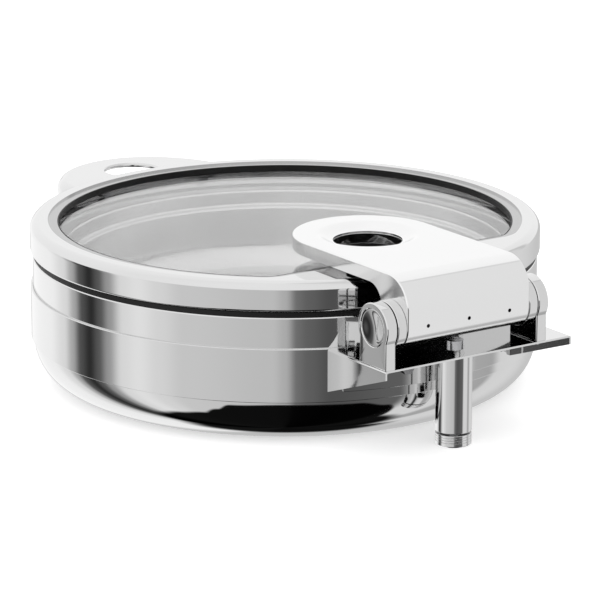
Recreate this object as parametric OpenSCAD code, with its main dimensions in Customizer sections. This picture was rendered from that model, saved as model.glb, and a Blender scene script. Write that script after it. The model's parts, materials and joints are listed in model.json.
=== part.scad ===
// Round roll top chafer: a drawn bowl with a water pan and a lift-out food pan,
// closed by a glazed lid that swings on a soft-close hinge. The hinge stands on a
// shelf bolted to the bowl's back, propped on a leg with a levelling foot.
// Millimetres. The bowl's axis is Z, the surface it rests on is Z = 0,
// the lid handle points to -Y and the hinge to +Y.

/* [Bowl] */
// Outer radius of the drawn bowl
shell_r = 203; // [170:1:250]
// Height of the bowl's rim above the table
shell_h = 103.5; // [90:0.5:140]
// Sheet thickness of the bowl
shell_t = 1.2; // [0.8:0.1:2]
// Outer radius of the bowl's bottom corner
shell_corner = 36; // [25:1:45]
// Width of the bowl's inward rim flange
shell_flange = 15; // [12:1:18]
// Radius of the opening in the bowl's bottom
base_open_r = 120; // [90:1:125]
// Thickness of the induction base
base_t = 5.2; // [4:0.1:8]
// Thickness of the wrapped collar band
band_t = 2; // [1.5:0.1:3]
// Height of the collar band
band_h = 42.4; // [36:0.2:50]

/* [Pans] */
// Gap between the bowl's rim opening and the water pan's wall
liner_gap = 2; // [1:0.5:4]
// Sheet thickness of both pans
pan_t = 1; // [0.8:0.1:1.5]
// Outer corner radius of the water pan
liner_corner = 30; // [20:1:34]
// Thickness of the silicone gasket between the two pan flanges
gasket_t = 1; // [0.6:0.1:2]
// Depth of the food pan below its flange
food_depth = 65; // [40:1:80]
// Width of the food pan's flange
food_flange = 24; // [20:1:28]
// Depth of the food pan's shoulder below its flange
shoulder_depth = 13; // [8:1:20]
// Width of the food pan's shoulder
shoulder_w = 6; // [4:1:10]
// Corner radius at the food pan's floor
food_corner = 24; // [12:1:28]

/* [Lid] */
// How far the lid and the band stand out past the bowl
lid_proud = 2; // [1.5:0.1:3]
// Gap between the bowl's rim and the lid's lower edge
lid_gap = 4.5; // [4:0.1:7]
// Height of the lid
lid_h = 23.5; // [21:0.5:32]
// Sheet thickness of the lid frame
lid_t = 1.5; // [1.2:0.1:2]
// Rounding of the lid's outer top edge
lid_edge_r = 7; // [4:0.5:9]
// Width of the lid's top border around the glass
border_w = 14.7; // [12:0.1:20]
// Thickness of the lid glass
glass_t = 4; // [3:0.5:5]
// How far the inner ring shows inside the border
ledge_w = 8.8; // [5:0.1:12]
// Depth of the silicone edging between the inner ring and the glass
lip_h = 4; // [3:0.5:8]
// Thickness of the edging
edging_t = 1.2; // [0.8:0.1:2]
// Distance from the bowl's axis to the edge of the lid's back segment
segment_y = 153; // [140:1:165]
// Corner radius where the back segment meets the round border
segment_fillet = 30; // [24:1:40]

/* [Hinge] */
// Sideways offset of the hinge from the bowl's axis
hinge_x = 12; // [0:1:20]
// Distance from the bowl's wall to the hinge axis
hinge_out = 38; // [36:0.5:46]
// Height of the hinge axis above the shelf's top
hinge_up = 30; // [26:0.5:36]
// Radius of the ears, collars and hood back
hinge_r = 19; // [17:0.5:22]
// Distance between the outer faces of the two ears
hinge_w = 151; // [130:1:180]
// Thickness of an ear
ear_t = 9.5; // [7:0.5:12]
// Radius of the round end cap in each ear
cap_r = 14.5; // [11:0.5:16]
// Radius of the hinge shaft
shaft_r = 5; // [4:0.5:6]
// Width of the polished collar next to each ear
collar_w = 8; // [5:0.5:12]
// Running clearance round the shaft
run_gap = 0.05; // [0.02:0.01:0.1]
// Side gap between the lid's hinge parts and the ears
side_gap = 0.8; // [0.6:0.1:1.5]

/* [Hood] */
// Height of the hood's top above the lid's top
hood_up = 15; // [13:0.5:20]
// Depth of the hood's turned-down edge
hood_edge = 11; // [8:0.5:13]
// Sheet thickness of the hood
hood_t = 1.5; // [1:0.1:2]
// Distance from the bowl's axis to the centre of the hood's round head
head_y = 129; // [110:1:135]
// Rounding from the hood's top into its back
hood_round = 25; // [18:1:28]
// Distance from the bowl's axis to the centre of the dish
dish_y = 131; // [125:1:150]
// Radius of the dish at the hood's top
dish_r = 41; // [30:1:45]
// Radius of the hole at the bottom of the dish
dish_hole_r = 27; // [18:1:30]
// Depth of the dish
dish_depth = 5; // [2:0.5:6]
// Thickness of the hinge arm inside the hood
arm_t = 6; // [4:0.5:8]
// Width of the hinge arm
arm_w = 84; // [60:1:96]
// Spacing of the grub screws in the hood's back
grub_pitch = 38; // [25:1:42]

/* [Lid handle] */
// Radius of the handle's round outline
handle_r = 81; // [65:1:95]
// How far the handle reaches out from the lid
handle_reach = 75; // [60:1:90]
// Thickness of the handle's shell
handle_t = 4; // [3:0.5:5]
// Height of the handle's turned-down rim at the lid
handle_h = 15; // [12:0.5:16]
// Height of the rim at the handle's tip
handle_tip = 5; // [4.5:0.5:10]
// Outer rounding of the handle's rim
handle_round = 9; // [6:0.5:10]
// Radius of the finger hole
finger_r = 23; // [18:1:32]
// Width of the grip beyond the finger hole
grip_w = 24; // [12:0.5:28]
// Drop of the handle's top below the lid's top
handle_drop = 7.5; // [6:0.5:8.5]

/* [Shelf and leg] */
// Width of the shelf
shelf_w = 175; // [160:1:200]
// How far the shelf reaches past the band
shelf_out = 55; // [50:1:64]
// Sheet thickness of the shelf
shelf_t = 1.5; // [1.2:0.1:3]
// Depth of the side flange at the shelf's free edge
flange_tip = 7; // [5:0.5:12]
// Depth of the side flange next to the bowl
flange_root = 34; // [28:1:40]
// Outer radius of the leg
leg_r = 14; // [12:0.5:16]
// Wall thickness of the leg
leg_t = 2; // [1.5:0.1:3]
// Distance from the band to the leg's axis
leg_out = 23; // [20:1:30]
// Height of the levelling foot
foot_h = 9.5; // [8:0.5:14]
// Groove between the leg and the foot
foot_gap = 1.5; // [1.3:0.1:3]
// Radius of the foot's threaded stud
stud_r = 5; // [3:0.5:6]

/* [Hidden] */
$fn = 128;
eps = 0.01;
touch = 0.1;             // assembly clearance between pieces of one body
past = 10;               // how far a radial bore runs past its wall
screw_r = 2.5;           // screws of the hinge arm and the handle
screw_head_r = 4.5;

// Bowl and pans, upwards from the table
band_r = shell_r + band_t;
band_top = shell_h - 24.5;
band_z = band_top - band_h;
rim_open_r = shell_r - shell_flange;
liner_r = rim_open_r - liner_gap;
liner_flange_z = shell_h;
liner_flange_r = shell_r - 4;
gasket_r = shell_r - 0.5;
gasket_clear = 0.7;      // between the gasket's rim and the closed lid
base_lip = 10;           // induction base past the bowl's opening
gasket_z = liner_flange_z + pan_t;
food_flange_z = gasket_z + gasket_t;
food_top = food_flange_z + pan_t;
food_flange_r = shell_r - 3;
food_r = food_flange_r - food_flange;
food_floor = food_top - food_depth;
shoulder_z = food_top - shoulder_depth;

// Lid, upwards from its lower edge
lid_r = shell_r + lid_proud;
lid_z = shell_h + lid_gap;
lid_top = lid_z + lid_h;
border_r = lid_r - border_w;
plate_z = lid_top - lid_t;
ring_t = 1.2;
ring_top = plate_z;
ring_z = ring_top - ring_t;
ring_r = lid_r - lid_edge_r - touch;
glass_top = ring_z - lip_h;
glass_z = glass_top - glass_t;
hem_r = lid_r - 11;
hem_edge = 2;            // rounding of the lid's lower edge
seal_gap = 0.4;          // between the lid seal and the food pan
glass_lap = 6;           // how far the glass reaches under the inner ring
glass_grow = edging_t - ledge_w + glass_lap;
seal_t = 0.5;            // leaf of the seal below the glass
seal_w = 1.5;            // wall of the seal round the glass
seal_lap = 3;            // how far the seal's leaf reaches under the glass
seal_grow = glass_grow + seal_w;
lid_seal_w = 4.5;
block_grow = 8;
block_h = 5;
block_z = ring_z - block_h;
segment_block_r = lid_r - 8;

// Hinge and hood
shelf_top = band_top;
hinge_y = band_r + hinge_out;
hinge_z = shelf_top + hinge_up;
ear_in = hinge_w / 2 - ear_t;
ear_base = 33;           // ear depth where it stands on the shelf
washer_t = 0.5;
collar_out = ear_in - side_gap;
hood_half = collar_out - collar_w;
skin = touch;
barrel_r = hinge_r - hood_t - skin;
barrel_half = hood_half - hood_t - skin;
bush_r = shaft_r + 7.5;
bush_w = 14;
cap_depth = 2.5;
cap_set = 0.3;           // cap's face below the ear's
cap_hollow_r = 60;       // sphere that hollows the cap's face
cap_hollow = 1.2;
washer_r = shaft_r + 6;
arm_back = hinge_y + 7;
saddle_y = 21;           // length of the arm's saddle over the barrel
saddle_up = 11;          // its lower edge above the hinge axis
spigot = 5;
damper_mid = (barrel_half - spigot - bush_w) / 2;
damper_half = damper_mid - 1.5;
rotor_r = 8;
wrap_angle = 37;         // how far the hood wraps below the hinge axis
hood_top = lid_top + hood_up;
hood_back = hinge_y + hinge_r;
hood_rim = hood_top - hood_edge;
cheek_r = 16;            // concave curve of the hood's cheek
cheek_y = hinge_y - 14;
arm_front = segment_y + 9;
arm_screw_x = 32;
arm_head_h = 3;
sleeve_gap = 0.5;        // between the hinge arm and the sleeve
arm_screw_y = [segment_y + 20, segment_y + 33];
sleeve_w = 3;

// Lid handle
handle_top = lid_top - handle_drop;
handle_y = -(lid_r + handle_reach - handle_r);
finger_y = -(lid_r + handle_reach - grip_w - finger_r);
handle_taper = atan((handle_h - handle_tip) / handle_reach);
handle_screw_angle = 14;
handle_screw_z = handle_top - handle_h / 2 - 2;

// Shelf and leg
shelf_front = band_r + shelf_out;
shelf_under = shelf_top - shelf_t;
leg_y = band_r + leg_out;
leg_z = foot_h + foot_gap;
insert_h = 12;
insert_r = leg_r - leg_t;
saddle_t = 2.5;          // curved flange that seats on the band
saddle_h = flange_root;
saddle_half = shelf_w / 2 - 10.7;
saddle_angle = asin(saddle_half / band_r);
bolt_r = 3;
bolt_out = shelf_w / 2 - 20.8;
bolt_in = 28.5;
bolt_angles = [for (x = [-bolt_out, -bolt_in, bolt_in, bolt_out]) asin(x / band_r)];
bolt_end = 6;            // bolts' inner ends from the bowl's outside
bolt_seat = 0.3;         // under the bolt heads
bolt_z = shelf_top - 19;
bolt_head_r = 5.5;
bolt_head_h = 4;
backing_t = 3;           // plate inside the bowl behind the bolts
backing_h = 18;
leg_screw_r = 4;
leg_head_r = 7;
leg_head_h = 3.5;
foot_edge = 1;           // chamfer at the foot's lower edge
pad_inset = 3.5;
pad_t = 2;
stud_up = 8;             // stud above the leg's bush
groove_z = [3.4, 5.4, 7.4];
groove_d = 0.4;
groove_w = 0.6;
ear_screw_y = 9;
ear_screw_l = 13;
ear_head_r = 3;
ear_head_h = 2.5;
ear_bolt_r = 2;
grub_r = 1.5;

// ---- Shared shapes ---------------------------------------------------------

// Half profile of a round vessel: straight wall, rounded bottom corner
module vessel_half(r, z0, z1, corner) {
    translate([0, z0 + corner]) square([r, z1 - z0 - corner]);
    translate([0, z0]) square([r - corner, corner + eps]);
    translate([r - corner, z0 + corner]) circle(r = corner);
}

// Wall of a round vessel of sheet t, as a half profile
module vessel_wall(r, z0, z1, corner, t) {
    intersection() {
        translate([0, z0]) square([r, z1 - z0]);
        difference() {
            vessel_half(r, z0, z1, corner);
            vessel_half(r - t, z0 + t, z1 + 1, corner - t);
        }
    }
}

// Flat ring between two radii, from height z, h thick
module ring(r_in, r_out, z, h) {
    translate([0, 0, z]) difference() {
        cylinder(r = r_out, h = h);
        translate([0, 0, -1]) cylinder(r = r_in, h = h + 2);
    }
}

// Opening of the lid: a circle with a straight back edge and two round corners,
// grown outwards by g
module lid_opening(g) {
    r = border_r + g;
    y = segment_y + g;
    f = segment_fillet + g;
    cx = sqrt(pow(border_r - segment_fillet, 2) - pow(segment_y - segment_fillet, 2));
    cy = segment_y - segment_fillet;
    reach = 2 * r;
    difference() {
        intersection() {
            circle(r = r);
            translate([-reach, y - 2 * reach]) square([2 * reach, 2 * reach]);
        }
        for (side = [-1, 1]) difference() {
            polygon([[side * cx, cy], [side * cx * 3, cy * 3], [side * cx, cy * 3]]);
            translate([side * cx, cy]) circle(r = f);
        }
    }
}

// Cylinder along X, centred on the hinge axis, from x0 to x1 about the hinge's middle
module hinge_rod(r, x0, x1) {
    translate([hinge_x + x0, hinge_y, hinge_z]) rotate([0, 90, 0]) cylinder(r = r, h = x1 - x0);
}

// Tube along the hinge axis
module hinge_tube(r_in, r_out, x0, x1) {
    difference() {
        hinge_rod(r_out, x0, x1);
        hinge_rod(r_in, x0 - 1, x1 + 1);
    }
}

// Radial rods at the shelf's bolt places, between two distances from the bowl's axis
module shelf_bolt_rods(r, d0, d1) {
    for (a = bolt_angles) rotate([0, 0, a]) translate([0, d0, bolt_z])
        rotate([-90, 0, 0]) cylinder(r = r, h = d1 - d0);
}

// Upright rods at the hinge arm's screw places
module arm_screw_rods(r, z0, z1) {
    for (side = [-1, 1], y = arm_screw_y)
        translate([hinge_x + side * arm_screw_x, y, z0]) cylinder(r = r, h = z1 - z0);
}

// Radial rods at the handle's screw places
module handle_screw_rods(r, d0, d1) {
    for (side = [-1, 1]) rotate([0, 0, side * handle_screw_angle])
        translate([0, -d0, handle_screw_z]) rotate([90, 0, 0]) cylinder(r = r, h = d1 - d0);
}

// Upright rods at the ears' screw places
module ear_screw_rods(r, z0, z1) {
    for (side = [-1, 1], dy = [-ear_screw_y, ear_screw_y])
        translate([hinge_x + side * (hinge_w - ear_t) / 2, hinge_y + dy, z0])
            cylinder(r = r, h = z1 - z0);
}

// Sector of a ring about +Y, half angle a
module back_sector(r_in, r_out, z, h, a) {
    intersection() {
        ring(r_in, r_out, z, h);
        translate([0, 0, z - 1]) linear_extrude(height = h + 2)
            polygon([[0, 0], [-2 * r_out * tan(a), 2 * r_out], [2 * r_out * tan(a), 2 * r_out]]);
    }
}

// ---- Bowl and pans ---------------------------------------------------------

module outer_shell() {
    color("silver") difference() {
        union() {
            rotate_extrude() difference() {
                vessel_wall(shell_r, 0, shell_h, shell_corner, shell_t);
                translate([0, -1]) square([base_open_r, shell_corner]);
            }
            ring(rim_open_r, shell_r - eps, shell_h - shell_t, shell_t);
        }
        shelf_bolt_rods(bolt_r + touch, shell_r - past, shell_r + past);
    }
}

module collar_band() {
    color("silver") difference() {
        ring(shell_r, band_r, band_z, band_h);
        shelf_bolt_rods(bolt_r + touch, shell_r - past, shell_r + past);
    }
}

module induction_base() {
    color("dimgray") {
        cylinder(r = base_open_r - touch, h = shell_t);
        translate([0, 0, shell_t]) cylinder(r = base_open_r + base_lip, h = base_t - shell_t);
    }
}

module water_pan() {
    color("gainsboro") {
        rotate_extrude() vessel_wall(liner_r, base_t, liner_flange_z + pan_t, liner_corner, pan_t);
        ring(liner_r - eps, liner_flange_r, liner_flange_z, pan_t);
    }
}

// Silicone gasket between the two pan flanges, with a rim that stands on the bowl's
// edge and covers the flanges' edges
module pan_gasket() {
    color("black") {
        ring(liner_r + 1, gasket_r, gasket_z, gasket_t);
        ring(food_flange_r + touch, gasket_r, shell_h, lid_gap - gasket_clear);
    }
}

module food_pan() {
    color("gainsboro") {
        rotate_extrude() vessel_wall(food_r - shoulder_w + pan_t, food_floor, shoulder_z, food_corner, pan_t);
        ring(food_r - shoulder_w, food_r + pan_t, shoulder_z - pan_t, pan_t);
        ring(food_r, food_r + pan_t, shoulder_z - pan_t, food_top - shoulder_z + pan_t);
        ring(food_r, food_flange_r, food_flange_z, pan_t);
    }
}

// ---- Shelf and leg ---------------------------------------------------------

module hinge_shelf() {
    side_y = sqrt(pow(band_r, 2) - pow(shelf_w / 2 - shelf_t, 2)) + 0.5;
    color("silver") difference() {
        union() {
            difference() {
                translate([-shelf_w / 2, 0, shelf_under]) cube([shelf_w, shelf_front, shelf_t]);
                translate([0, 0, shelf_under - 1]) cylinder(r = band_r, h = shelf_t + 2);
                translate([-shelf_w, -1, shelf_under - 1]) cube([2 * shelf_w, side_y / 2, shelf_t + 2]);
            }
            for (x = [-shelf_w / 2, shelf_w / 2 - shelf_t])
                translate([x, 0, 0]) rotate([90, 0, 90]) linear_extrude(height = shelf_t)
                    polygon([[side_y, shelf_top - flange_root], [shelf_front, shelf_top - flange_tip],
                        [shelf_front, shelf_top], [side_y, shelf_top]]);
            back_sector(band_r, band_r + saddle_t, shelf_top - saddle_h, saddle_h, saddle_angle);
        }
        shelf_bolt_rods(bolt_r + touch, shell_r - past, band_r + past);
        ear_screw_rods(ear_bolt_r + touch, shelf_under - 1, shelf_top + 1);
        translate([0, leg_y, shelf_under - 1]) cylinder(r = leg_screw_r + touch, h = shelf_t + 2);
    }
}

module backing_plate() {
    color("gray") difference() {
        back_sector(shell_r - shell_t - backing_t, shell_r - shell_t, bolt_z - backing_h / 2, backing_h,
            saddle_angle);
        shelf_bolt_rods(bolt_r, shell_r - past, shell_r + past);
    }
}

module shelf_bolts() {
    color("silver") {
        shelf_bolt_rods(bolt_r, shell_r - bolt_end, band_r + saddle_t + bolt_seat + 0.2);
        for (a = bolt_angles) rotate([0, 0, a]) translate([0, band_r + saddle_t + bolt_seat, bolt_z])
            rotate([-90, 0, 0]) cylinder(r = bolt_head_r, h = bolt_head_h, $fn = 6);
    }
}

module leg_tube() {
    color("silver") translate([0, leg_y, 0]) ring(leg_r - leg_t, leg_r, leg_z, shelf_under - leg_z);
}

module leg_insert() {
    color("gray") translate([0, leg_y, 0]) ring(leg_screw_r, insert_r, shelf_under - insert_h, insert_h);
}

module leg_bush() {
    color("gray") translate([0, leg_y, 0]) ring(stud_r + run_gap, insert_r, leg_z, insert_h);
}

module leg_screw() {
    color("silver") translate([0, leg_y, 0]) {
        translate([0, 0, shelf_under - insert_h]) cylinder(r = leg_screw_r, h = insert_h + shelf_t + 1);
        translate([0, 0, shelf_top]) cylinder(r = leg_head_r, h = leg_head_h);
    }
}

module levelling_foot() {
    color("silver") translate([0, leg_y, 0]) difference() {
        union() {
            cylinder(r1 = leg_r - foot_edge, r2 = leg_r, h = foot_edge);
            translate([0, 0, foot_edge]) cylinder(r = leg_r, h = foot_h - foot_edge);
            cylinder(r = stud_r, h = leg_z + insert_h + stud_up);
        }
        translate([0, 0, -1]) cylinder(r = leg_r - pad_inset, h = pad_t + 1);
        for (z = groove_z) ring(leg_r - groove_d, leg_r + 1, z, groove_w);
    }
}

module foot_pad() {
    color("black") translate([0, leg_y, 0]) cylinder(r = leg_r - pad_inset - touch, h = pad_t);
}

// ---- Fixed half of the hinge -----------------------------------------------

// Ear on the side given by -1 or 1: a round head on a square base
module ear(side) {
    x0 = side > 0 ? ear_in : -ear_in - ear_t;
    cap_x = side > 0 ? hinge_w / 2 - cap_depth : -hinge_w / 2 - 1;
    color("silver") difference() {
        union() {
            hinge_rod(hinge_r, x0, x0 + ear_t);
            translate([hinge_x + x0, hinge_y - ear_base / 2, shelf_top])
                cube([ear_t, ear_base, hinge_up]);
        }
        hinge_rod(shaft_r, x0 - 1, x0 + ear_t + 1);
        hinge_rod(cap_r + touch, cap_x, cap_x + cap_depth + 1);
        ear_screw_rods(ear_bolt_r, shelf_top - 1, shelf_top + ear_screw_l + 1);
    }
}

module ear_left() { ear(1); }

module ear_right() { ear(-1); }

module ear_screws() {
    color("silver") {
        ear_screw_rods(ear_bolt_r, shelf_under - 1, shelf_top + ear_screw_l);
        ear_screw_rods(ear_head_r, shelf_under - ear_head_h, shelf_under);
    }
}

module hinge_shaft() {
    color("silver") hinge_rod(shaft_r, -hinge_w / 2 + cap_depth, hinge_w / 2 - cap_depth);
}

// Shallow cap that closes an ear's recess, its face a little hollow
module end_cap(side) {
    x = hinge_w / 2 - cap_depth;
    color("silver") translate([hinge_x, hinge_y, hinge_z]) mirror([side > 0 ? 0 : 1, 0, 0])
        translate([x, 0, 0]) rotate([0, 90, 0]) difference() {
            cylinder(r = cap_r, h = cap_depth - cap_set);
            translate([0, 0, cap_depth - cap_set + cap_hollow_r - cap_hollow]) sphere(r = cap_hollow_r);
        }
}

module end_cap_left() { end_cap(1); }

module end_cap_right() { end_cap(-1); }

module thrust_washers() {
    color("dimgray") {
        hinge_tube(shaft_r, washer_r, ear_in - washer_t, ear_in);
        hinge_tube(shaft_r, washer_r, -ear_in, -ear_in + washer_t);
    }
}

module damper_rotors() {
    color("dimgray") for (side = [-1, 1])
        hinge_tube(shaft_r, rotor_r,
            side * damper_mid - damper_half + 2, side * damper_mid + damper_half - 2);
}

// ---- Lid -------------------------------------------------------------------

// Half profile of the lid's skirt: rounded top edge, hemmed lower edge
module lid_skirt_half() {
    difference() {
        intersection() {
            translate([hem_r, lid_z]) square([lid_r - hem_r, lid_h]);
            union() {
                translate([hem_r, lid_z]) square([lid_r - lid_edge_r - hem_r, lid_h]);
                translate([hem_r, lid_z]) square([lid_r - hem_edge - hem_r, lid_h - lid_edge_r]);
                translate([hem_r, lid_z + hem_edge])
                    square([lid_r - hem_r, lid_h - hem_edge - lid_edge_r]);
                translate([lid_r - hem_edge, lid_z + hem_edge]) circle(r = hem_edge);
                translate([lid_r - lid_edge_r, lid_top - lid_edge_r]) circle(r = lid_edge_r);
            }
        }
        translate([hem_r - 1, lid_z + lid_t])
            square([lid_r - lid_t - hem_r + 1, lid_h - lid_t - lid_edge_r]);
        translate([hem_r - 1, lid_z + lid_t])
            square([lid_r - lid_edge_r - hem_r + 1, lid_h - 2 * lid_t]);
        translate([lid_r - lid_edge_r, lid_top - lid_edge_r]) circle(r = lid_edge_r - lid_t);
    }
}

module lid_frame() {
    color("silver") difference() {
        union() {
            rotate_extrude() lid_skirt_half();
            translate([0, 0, plate_z]) linear_extrude(height = lid_t) difference() {
                circle(r = lid_r - lid_edge_r);
                lid_opening(0);
            }
        }
        arm_screw_rods(screw_r + touch, plate_z - 1, lid_top + 1);
        handle_screw_rods(screw_r + touch, lid_r - past, lid_r + past);
    }
}

module inner_ring() {
    color("gainsboro") difference() {
        translate([0, 0, ring_z]) linear_extrude(height = ring_t) difference() {
            circle(r = ring_r);
            lid_opening(edging_t - ledge_w);
        }
        arm_screw_rods(screw_r + touch, ring_z - 1, ring_top + 1);
    }
}

// Silicone strip round the inner ring's edge, from the ring's top down to the glass
module ring_edging() {
    color("black") translate([0, 0, glass_top]) linear_extrude(height = ring_top - glass_top)
        difference() {
            lid_opening(edging_t - ledge_w);
            lid_opening(-ledge_w);
        }
}

module lid_glass() {
    color([0.85, 0.9, 0.9, 0.4]) translate([0, 0, glass_z]) linear_extrude(height = glass_t)
        lid_opening(glass_grow);
}

// Silicone seal that bonds the glass under the inner ring: a band on top of the glass,
// a wall round it and a leaf below it
module glass_seal() {
    color("black") {
        translate([0, 0, glass_top]) linear_extrude(height = ring_z - glass_top) difference() {
            lid_opening(seal_grow);
            lid_opening(edging_t - ledge_w);
        }
        translate([0, 0, glass_z]) linear_extrude(height = glass_t) difference() {
            lid_opening(seal_grow);
            lid_opening(glass_grow);
        }
        translate([0, 0, glass_z - seal_t]) linear_extrude(height = seal_t) difference() {
            lid_opening(seal_grow);
            lid_opening(glass_grow - seal_lap);
        }
    }
}

module lid_seal() {
    color("black") ring(hem_r, hem_r + lid_seal_w, food_top + seal_gap, lid_z - food_top - seal_gap);
}

module segment_block() {
    color("gray") difference() {
        translate([0, 0, block_z]) linear_extrude(height = block_h) difference() {
            circle(r = segment_block_r);
            translate([-lid_r, segment_y + block_grow - 2 * lid_r]) square(2 * lid_r);
            lid_opening(block_grow);
        }
        arm_screw_rods(screw_r, block_z - 1, ring_z + 1);
    }
}

module hinge_arm() {
    color("dimgray") difference() {
        translate([hinge_x - arm_w / 2, 0, 0]) rotate([90, 0, 90]) linear_extrude(height = arm_w)
            difference() {
                union() {
                    translate([arm_front, lid_top]) square([arm_back - arm_front, arm_t]);
                    translate([cheek_y, hinge_z + saddle_up])
                        square([saddle_y, lid_top + arm_t - hinge_z - saddle_up]);
                }
                translate([hinge_y, hinge_z]) circle(r = barrel_r);
            }
        translate([hinge_x, dish_y, 0]) cylinder(r = dish_hole_r + sleeve_w + sleeve_gap, h = hood_top);
        arm_screw_rods(screw_r + touch, lid_top - 1, lid_top + arm_t + 1);
    }
}

module arm_screws() {
    color("silver") {
        arm_screw_rods(screw_r, block_z + 0.2, lid_top + arm_t + 1);
        arm_screw_rods(screw_head_r, lid_top + arm_t, lid_top + arm_t + arm_head_h);
    }
}

module hinge_barrel() {
    color("dimgray") difference() {
        hinge_tube(bush_r, barrel_r, -barrel_half, barrel_half);
        for (i = [-1:1]) translate([hinge_x + i * grub_pitch, hinge_y + bush_r - 1, hinge_z])
            rotate([-90, 0, 0]) cylinder(r = grub_r, h = hinge_r);
    }
}

module barrel_bushes() {
    color("peru") {
        hinge_tube(shaft_r + run_gap, bush_r, barrel_half - spigot - bush_w, barrel_half - spigot);
        hinge_tube(shaft_r + run_gap, bush_r, spigot - barrel_half, spigot + bush_w - barrel_half);
    }
}

// Polished collar between the hood and an ear, with a spigot into the barrel
module collar(side) {
    x0 = side > 0 ? hood_half + touch : -collar_out;
    x1 = side > 0 ? collar_out : -hood_half - touch;
    s0 = side > 0 ? barrel_half - spigot : -hood_half - 1;
    s1 = side > 0 ? hood_half + 1 : spigot - barrel_half;
    color("silver") difference() {
        union() {
            hinge_rod(hinge_r, x0, x1);
            hinge_rod(bush_r - touch, s0, s1);
        }
        hinge_rod(shaft_r + 0.5, -hinge_w, hinge_w);
        hinge_rod(shaft_r + 7, side > 0 ? x1 - 1 : x0 - 1, side > 0 ? x1 + 1 : x0 + 1);
    }
}

module collar_left() { collar(1); }

module collar_right() { collar(-1); }

module damper_housings() {
    color("dimgray") for (side = [-1, 1])
        hinge_tube(rotor_r + run_gap, bush_r,
            side * damper_mid - damper_half, side * damper_mid + damper_half);
}

// Side profile of the hood, in Y and Z, shrunk inwards by t and left open below
// when t is above zero
module hood_side(t) {
    front = head_y - hood_half - 10;
    low = t > 0 ? hinge_z - 2 * hinge_r : 0;
    union() {
        translate([front, t > 0 ? lid_top - 20 : hood_rim])
            square([hood_back - hood_round - front, hood_top - t - (t > 0 ? lid_top - 20 : hood_rim)]);
        translate([cheek_y, t > 0 ? low : hinge_z])
            square([hood_back - hood_round - cheek_y, hood_top - t - (t > 0 ? low : hinge_z)]);
        translate([hood_back - hood_round - 1, t > 0 ? low : hinge_z])
            square([hood_round + 1 - t, hood_top - hood_round - (t > 0 ? low : hinge_z)]);
        intersection() {
            translate([hood_back - hood_round, hood_top - hood_round]) circle(r = hood_round - t);
            translate([hood_back - hood_round - 1, hood_top - hood_round - 1])
                square(hood_round + 2);
        }
        if (t == 0) {
            difference() {
                translate([cheek_y - cheek_r, hood_rim - cheek_r]) square([cheek_r + eps, cheek_r + eps]);
                translate([cheek_y - cheek_r, hood_rim - cheek_r]) circle(r = cheek_r);
            }
            intersection() {
                translate([hinge_y, hinge_z]) circle(r = hinge_r);
                translate([hinge_y, hinge_z])
                    polygon([[0, 0], [100, -100 * tan(wrap_angle)], [100, 1], [cheek_y - hinge_y, 1],
                        [cheek_y - hinge_y, 0]]);
            }
        }
    }
}

// Plan outline of the hood, shrunk inwards by t
module hood_plan(t) {
    half = hood_half - t;
    translate([hinge_x, head_y]) circle(r = half);
    translate([hinge_x - half, head_y]) square([2 * half, hood_back + hinge_r - head_y]);
}

module hinge_hood() {
    color("whitesmoke") difference() {
        union() {
            difference() {
                intersection() {
                    translate([hinge_x - hood_half, 0, 0]) rotate([90, 0, 90])
                        linear_extrude(height = 2 * hood_half) hood_side(0);
                    translate([0, 0, -1]) linear_extrude(height = hood_top + 2) hood_plan(0);
                }
                intersection() {
                    translate([hinge_x - hood_half, 0, 0]) rotate([90, 0, 90])
                        linear_extrude(height = 2 * hood_half) hood_side(hood_t);
                    translate([0, 0, -1]) linear_extrude(height = hood_top + 2) hood_plan(hood_t);
                    union() {
                        translate([0, 0, hinge_z]) translate([-500, -500, 0]) cube([1000, 1000, 200]);
                        hinge_rod(hinge_r - hood_t, -hood_half, hood_half);
                    }
                }
                translate([hinge_x, dish_y, hood_rim]) cylinder(r = dish_r, h = hood_edge + 1);
            }
            translate([hinge_x, dish_y, 0]) rotate_extrude()
                polygon([[dish_r, hood_top], [dish_hole_r, hood_top - dish_depth],
                    [dish_hole_r, hood_top - dish_depth - hood_t], [dish_r + 1, hood_top - hood_t],
                    [dish_r + 1, hood_top]]);
        }
        hinge_rod(bush_r, -hinge_w, hinge_w);
        for (i = [-1:1]) translate([hinge_x + i * grub_pitch, hinge_y, hinge_z])
            rotate([-90, 0, 0]) cylinder(r = grub_r, h = 2 * hinge_r);
    }
}

module hood_screws() {
    color("dimgray") for (i = [-1:1])
        translate([hinge_x + i * grub_pitch, hinge_y + bush_r + 0.5, hinge_z])
            rotate([-90, 0, 0]) cylinder(r = grub_r, h = hinge_r - bush_r - 1.3);
}

module dish_sleeve() {
    color("silver") translate([hinge_x, dish_y, 0])
        ring(dish_hole_r, dish_hole_r + sleeve_w, lid_top + touch,
            hood_top - dish_depth - hood_t - lid_top - touch);
}

module sleeve_pad() {
    color("black") translate([0, 0, glass_top + touch])
        linear_extrude(height = lid_top - glass_top - touch) intersection() {
            translate([hinge_x, dish_y]) difference() {
                circle(r = dish_hole_r + sleeve_w);
                circle(r = dish_hole_r);
            }
            lid_opening(-ledge_w - touch);
        }
}

// ---- Lid handle ------------------------------------------------------------

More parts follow.
